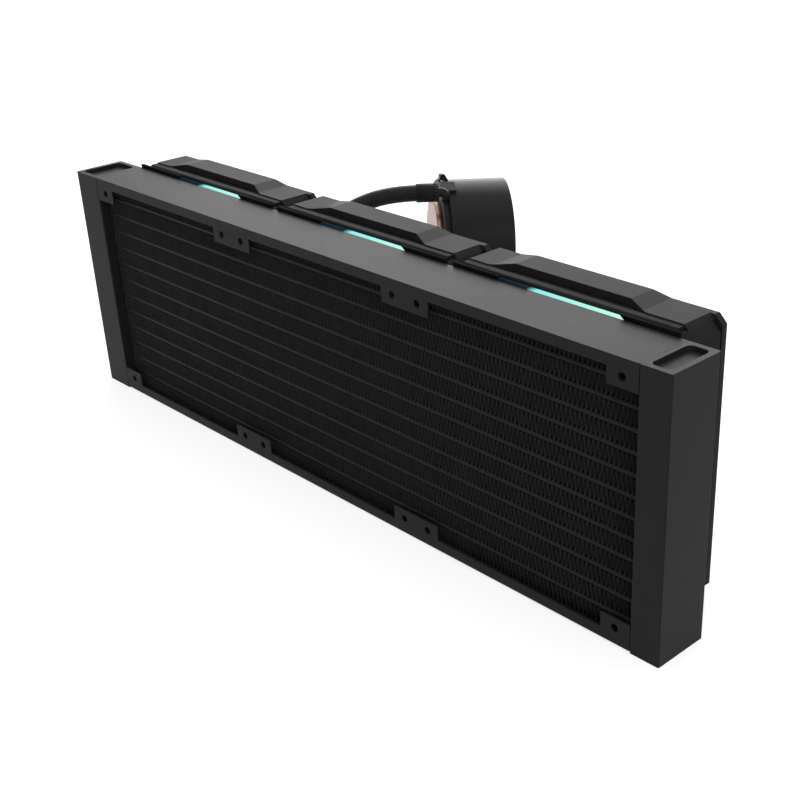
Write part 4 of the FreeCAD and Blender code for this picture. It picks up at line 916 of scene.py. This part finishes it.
@dataclass
class Pump:
    """The round pump behind the radiator."""

    kit: Kit
    face: tuple[float, float, float] = (-0.14984, 0.20773, -0.02081)
    turn: float = math.radians(54.7)
    lean: float = math.radians(2.0)
    radius: float = 38.0 * MM
    housing_low: float = 7.6 * MM
    housing_length: float = 38.7 * MM
    port_angle: float = math.radians(119.3)
    port_circle: float = 43.0 * MM
    nut_low: float = -2.7 * MM
    nut_high: float = 0.7 * MM
    neck_radius: float = 2.9 * MM
    neck_lift: float = 5.4 * MM
    neck_bend: float = 3.6 * MM
    nut_bore: float = 3.0 * MM
    nut_radius: float = 5.5 * MM
    flutes: int = 18
    flute_depth: float = 0.18 * MM
    wall: float = 2.4 * MM
    lip: float = 1.2 * MM
    round_steps: int = 160
    axis: tuple[float, float, float] = field(init=False)

    def __post_init__(self) -> None:
        """Works out the axis from the turn and the lean."""
        flat = math.cos(self.lean)
        self.axis = (math.cos(self.turn) * flat, math.sin(self.turn) * flat, -math.sin(self.lean))

    def place(self) -> Place:
        """Local frame whose z runs from the cold plate's face to the lid."""
        side = (-math.sin(self.turn), math.cos(self.turn), 0.0)
        return Place.along(self.face, self.axis, side)

    def build(self) -> None:
        """Makes the turned pieces and the upper fitting, and dresses the rest."""
        self.housing()
        self.lid()
        self.fitting()
        self.kit.carry("cold_plate", COPPER, 0.3 * MM)
        self.kit.carry("lower_elbow", FITTING, 0.2 * MM)
        for side in Side:
            self.kit.carry(f"{side.value}_pump_collar", COLLAR, 0.5 * MM, 3)
        self.kit.carry("base_ring", RING_PLASTIC, 0.25 * MM)
        inner = {"cold_plate_screws": STEEL, "plate_seal": RUBBER, "chamber_plate": PUMP_PLASTIC,
                 "rotor_can": PUMP_PLASTIC, "pump_board": BOARD, "pump_shaft": STEEL,
                 "impeller": IMPELLER_PLASTIC, "pump_stator": WINDING}
        for node, finish in inner.items():
            self.kit.carry(node, finish)

    def housing(self) -> None:
        """Makes the drum by turning its wall's section."""
        low, top = self.housing_low, self.housing_low + self.housing_length
        outer, inner = self.radius, self.radius - self.wall
        ledge, seat = inner - self.lip, top - 2.8 * MM
        section = softened([
            (inner, low), (outer, low), (outer, top), (inner, top), (inner, seat),
            (ledge, seat), (ledge, top - 4.4 * MM), (inner, top - 5.6 * MM),
        ], [0.2 * MM, 0.4 * MM, 1.8 * MM, 0.3 * MM, 0.1 * MM, 0.2 * MM, 0.2 * MM, 0.1 * MM], 5)
        item = mesh_object("pump_drum", lathe(section, self.place(), self.round_steps), 40)
        self.kit.add(item, "cooler", "housing_coat", HOUSING_COAT, "pump_housing")

    def fitting(self) -> None:
        """Makes the upper fitting: a fluted nut, and a short neck that bends into the ring.

        The nut's radius is its profile's radius plus a cosine of the angle where the profile is widest.
        The neck follows a straight run along the axis, a quarter circle and a short run to the centre.
        """
        out = np.array([math.cos(self.port_angle), math.sin(self.port_angle), 0.0])
        spot = out * self.port_circle
        quarter = np.linspace(0, math.pi / 2, 9)[:, None]
        bend = self.neck_bend
        arc = spot + UP * (self.neck_lift - bend) + out * bend * (np.cos(quarter) - 1) + UP * bend * np.sin(quarter)
        inward = out * (self.radius - 2.0 * MM) + UP * self.neck_lift
        neck = tube(np.concatenate([[spot + UP * self.nut_low], arc, [inward]]), self.neck_radius, 28)
        bore, rim, low, high = self.nut_bore, self.nut_radius, self.nut_low, self.nut_high
        profile = softened([(bore, low), (rim, low), (rim, high), (bore, high)],
                           [0.1 * MM, 0.7 * MM, 0.7 * MM, 0.1 * MM], 3)
        angle = np.linspace(0, math.tau, 8 * self.flutes, endpoint=False)[:, None]
        flute = np.where(profile[:, 0] > rim - 0.3 * MM, self.flute_depth, 0.0)
        radius = profile[None, :, 0] + flute[None] * np.cos(self.flutes * angle)
        ring = np.stack([spot[0] + radius * np.cos(angle), spot[1] + radius * np.sin(angle),
                         np.broadcast_to(profile[None, :, 1], radius.shape)], axis=-1)
        nut = Patch.grid(ring, close_rows=True, close_cols=True)
        item = mesh_object("upper_fitting", self.place().patch(Patch.join([neck, nut])), 40)
        self.kit.add(item, "cooler", "fitting_black", FITTING, "upper_elbow")

    def lid(self) -> None:
        """Makes the lid as a disc with a rounded rim."""
        top = self.housing_low + self.housing_length - 0.4 * MM
        rim = self.radius - 2.5 * MM
        section = softened([(0.0, top - 2.4 * MM), (rim, top - 2.4 * MM), (rim, top), (0.0, top)],
                           [0, 0.2 * MM, 0.6 * MM, 0], 4)
        item = mesh_object("pump_cap", lathe(section, self.place(), self.round_steps), 40)
        self.kit.add(item, "cooler", "lid_gloss", LID_GLOSS, "pump_lid")


# Hoses


@dataclass
class Hoses:
    """Two sleeved hoses between the pump and the radiator, with their barbs and collars."""

    kit: Kit
    radius: float = 4.9 * MM
    sides: int = 32
    line_steps: int = 24

    def routes(self) -> dict[Side, Array]:
        """Route points of both hoses."""
        upper = [
            (-139.157, 186.402, 17.104), (-147.242, 174.983, 17.593), (-157.8, 157.8, 13.8), (-166.5, 139.1, 3.8),
            (-176.1, 118.5, 0.7), (-184.5, 97.4, 4.3), (-189.4, 76.2, 12.4), (-190.0, 53.85, 18.0),
            (-190.0, 38.85, 18.0),
        ]
        lower = [
            (-122.662, 173.523, -10.924), (-131.902, 160.473, -10.366), (-144.6, 144.4, -10.8),
            (-157.6, 128.5, -12.5), (-169.2, 111.7, -14.5), (-179.0, 93.7, -16.2), (-186.2, 74.5, -17.4),
            (-190.0, 54.35, -18.0), (-190.0, 38.85, -18.0),
        ]
        return {Side.UPPER: np.array(upper) * MM, Side.LOWER: np.array(lower) * MM}

    def centre_line(self, name: str, route: Array) -> Array:
        """Points of the smooth line through a route, from a NURBS spline with no bevel."""
        curve = bpy.data.curves.new(name, "CURVE")
        curve.dimensions = "3D"
        curve.resolution_u = self.line_steps
        spline = curve.splines.new("NURBS")
        spline.points.add(len(route) - 1)
        spline.points.foreach_set("co", np.column_stack([route, np.ones(len(route))]).ravel())
        spline.order_u = 3
        spline.use_endpoint_u = True
        holder = bpy.data.objects.new(name, curve)
        line = bpy.data.meshes.new_from_object(holder)
        points = np.zeros(len(line.vertices) * 3)
        line.vertices.foreach_get("co", points)
        bpy.data.objects.remove(holder)
        return points.reshape(-1, 3)

    def hose(self, side: Side, route: Array) -> None:
        """Makes one hose as a tube along its line, with a UV map that follows it."""
        path = self.centre_line(f"{side.value}_route", route)
        item = mesh_object(f"{side.value}_sleeve", tube(path, self.radius, self.sides), 60)
        travelled = np.concatenate([[0], np.cumsum(np.linalg.norm(np.diff(path, axis=0), axis=1))])
        self.map_tube(item, path, travelled)
        self.kit.add(item, "cooler", "hose_sleeve", SleeveFinish(), f"{side.value}_hose")

    @staticmethod
    def map_tube(item: bpy.types.Object, path: Array, travelled: Array) -> None:
        """Writes the tube's UV map: U is the angle round the nearest path point, V the way travelled.

        Args:
            item: The tube.
            path: Points of its centre line.
            travelled: Way along the line to each point.
        """
        mesh = item.data
        corners = np.zeros(len(mesh.loops), np.int32)
        mesh.loops.foreach_get("vertex_index", corners)
        places = np.zeros(len(mesh.vertices) * 3)
        mesh.vertices.foreach_get("co", places)
        places = places.reshape(-1, 3)
        nearest = ((places[:, None] - path[None]) ** 2).sum(axis=2).argmin(axis=1)
        tangent = unit(np.gradient(path, axis=0))[nearest]
        first = unit(UP[None] - tangent * (tangent @ UP)[:, None])
        second = np.cross(tangent, first)
        arm = places - path[nearest]
        around = np.arctan2((arm * second).sum(axis=1), (arm * first).sum(axis=1)) / math.tau
        u = around[corners]
        starts = np.zeros(len(mesh.polygons), np.int32)
        counts = np.zeros(len(mesh.polygons), np.int32)
        mesh.polygons.foreach_get("loop_start", starts)
        mesh.polygons.foreach_get("loop_total", counts)
        top = np.repeat(np.maximum.reduceat(u, starts), counts)
        u = np.where(top - u > 0.5, u + 1.0, u)
        layer = mesh.uv_layers.new(name="UVMap")
        layer.data.foreach_set("uv", np.column_stack([u, travelled[nearest][corners]]).ravel())

    def build(self) -> None:
        """Makes both hoses and dresses their ends."""
        for side, route in self.routes().items():
            self.hose(side, route)
            self.kit.carry(f"{side.value}_tank_barb", FITTING, 0.15 * MM, 1)
            self.kit.carry(f"{side.value}_tank_collar", COLLAR, 0.2 * MM, 2)


@dataclass
class Fasteners:
    """The long screws that hold the fans."""

    kit: Kit

    def build(self) -> None:
        """Dresses the screws."""
        self.kit.carry("fan_screws", SCREW_BLACK)


# Studio and camera


@dataclass
class Studio:
    """Pale floor, white surround and soft lamps."""

    floor: float = -60.4 * MM
    reach: float = 4.0
    floor_tone: float = 0.50
    floor_glow: float = 0.70
    fill: float = 0.60

    def build(self) -> None:
        """Makes the floor, the world and the lamps."""
        self.ground()
        self.world()
        self.lamp("back_box", (-0.95, 1.25, 0.70), 1.6, 28.0)
        self.lamp("top_box", (0.1, 0.1, 1.4), 1.2, 5.0)
        self.lamp("right_box", (1.5, -0.2, 0.8), 0.9, 4.0)

    @staticmethod
    def shown(tree: bpy.types.NodeTree) -> bpy.types.NodeSocket:
        """A mask that is 1 where the camera, gloss or glass sees the surface, and 0 for light on the object.

        Args:
            tree: The node tree that the mask is made in.

        Returns:
            The mask's output.
        """
        seen = tree.nodes.new("ShaderNodeLightPath")
        mask = seen.outputs["Is Camera Ray"]
        for ray in ("Is Glossy Ray", "Is Transmission Ray"):
            either = tree.nodes.new("ShaderNodeMath")
            either.operation = "MAXIMUM"
            tree.links.new(mask, either.inputs[0])
            tree.links.new(seen.outputs[ray], either.inputs[1])
            mask = either.outputs[0]
        return mask

    def ground(self) -> None:
        """Makes the pale floor sheet, which glows a little where it is seen, so that only shadow darkens it."""
        mesh = bpy.data.meshes.new("floor_sheet")
        signs = ((-1, -1), (1, -1), (1, 1), (-1, 1))
        corners = [(x * self.reach, y * self.reach, self.floor) for x, y in signs]
        mesh.from_pydata(corners, [], [(0, 1, 2, 3)])
        item = bpy.data.objects.new("floor_sheet", mesh)
        bpy.context.scene.collection.objects.link(item)
        paint, tree, shader = blank("floor_paint")
        put(shader, {"Base Color": solid([self.floor_tone] * 3), "Roughness": 0.9, "Specular IOR Level": 0.0,
                     "Emission Strength": 1.0})
        glow = blend(tree, (0, 0, 0, 1), solid([self.floor_glow] * 3), self.shown(tree))
        tree.links.new(glow, shader.inputs["Emission Color"])
        mesh.materials.append(paint)

    def world(self) -> None:
        """Makes the surround: white where it is seen, grey as light on the object."""
        world = bpy.data.worlds.new("studio")
        bpy.context.scene.world = world
        world.use_nodes = True
        tree = world.node_tree
        surround = put(tree.nodes["Background"], {"Strength": 1.0})
        tone = blend(tree, solid([self.fill] * 3), (1, 1, 1, 1), self.shown(tree))
        tree.links.new(tone, surround.inputs["Color"])

    @staticmethod
    def lamp(name: str, at: Sequence[float], size: float, power: float) -> None:
        """Makes one square soft box that faces the origin.

        Args:
            name: Name of the lamp.
            at: Its place.
            size: Length of its side.
            power: Watts.
        """
        data = bpy.data.lights.new(name, "AREA")
        data.size = size
        data.energy = power
        item = bpy.data.objects.new(name, data)
        back = unit(np.asarray(at, float))
        overhead = abs(back[2]) >= 0.9
        place = Place.along(at, back, (1.0, 0.0, 0.0) if overhead else (0.0, 0.0, 1.0))
        matrix = np.eye(4)
        matrix[:3, :3] = np.array([place.x, place.y, place.z]).T
        matrix[:3, 3] = at
        item.matrix_world = Matrix(matrix.tolist())
        item.visible_camera = False
        bpy.context.scene.collection.objects.link(item)


@dataclass(frozen=True)
class Viewpoint:
    """The photograph's camera, found from the fans' and the radiator's known sizes."""

    azimuth: float = 0.8279837
    elevation: float = 0.4733002
    roll: float = -0.03914413
    focal_pixels: float = 1288.163
    centre_pixels: tuple[float, float] = (446.3646, 442.3838)
    place: tuple[float, float, float] = (0.4287208, -0.3184385, 0.2367907)
    frame_pixels: float = 800.0

    def build(self) -> None:
        """Makes the camera and sets it as the scene's."""
        data = bpy.data.cameras.new("viewpoint")
        data.sensor_width = 36.0
        data.sensor_fit = "HORIZONTAL"
        data.lens = data.sensor_width * self.focal_pixels / self.frame_pixels
        middle = self.frame_pixels / 2
        data.shift_x = (middle - self.centre_pixels[0]) / self.frame_pixels
        data.shift_y = (self.centre_pixels[1] - middle) / self.frame_pixels
        data.clip_start = 0.01
        az, el, roll = self.azimuth, self.elevation, self.roll
        back = np.array([math.sin(az) * math.cos(el), -math.cos(az) * math.cos(el), math.sin(el)])
        right = np.array([math.cos(az), math.sin(az), 0.0])
        up = np.cross(right, -back)
        matrix = np.eye(4)
        matrix[:3, 0] = math.cos(roll) * right + math.sin(roll) * up
        matrix[:3, 1] = -math.sin(roll) * right + math.cos(roll) * up
        matrix[:3, 2] = back
        matrix[:3, 3] = self.place
        item = bpy.data.objects.new("viewpoint", data)
        item.matrix_world = Matrix(matrix.tolist())
        bpy.context.scene.collection.objects.link(item)
        bpy.context.scene.camera = item
        bpy.context.scene.view_settings.view_transform = "Standard"


def main() -> None:
    """Builds everything in order."""
    logging.basicConfig(level=logging.INFO, format="%(name)s: %(message)s")
    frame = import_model()
    Viewpoint().build()
    kit = Kit(frame["nodes"])
    Hoses(kit).build()
    Radiator(kit).build()
    for fan in Fan:
        FanUnit(kit, fan).build()
    Pump(kit).build()
    Fasteners(kit).build()
    Studio().build()
    bpy.context.view_layer.update()


if __name__ == "__main__":
    main()
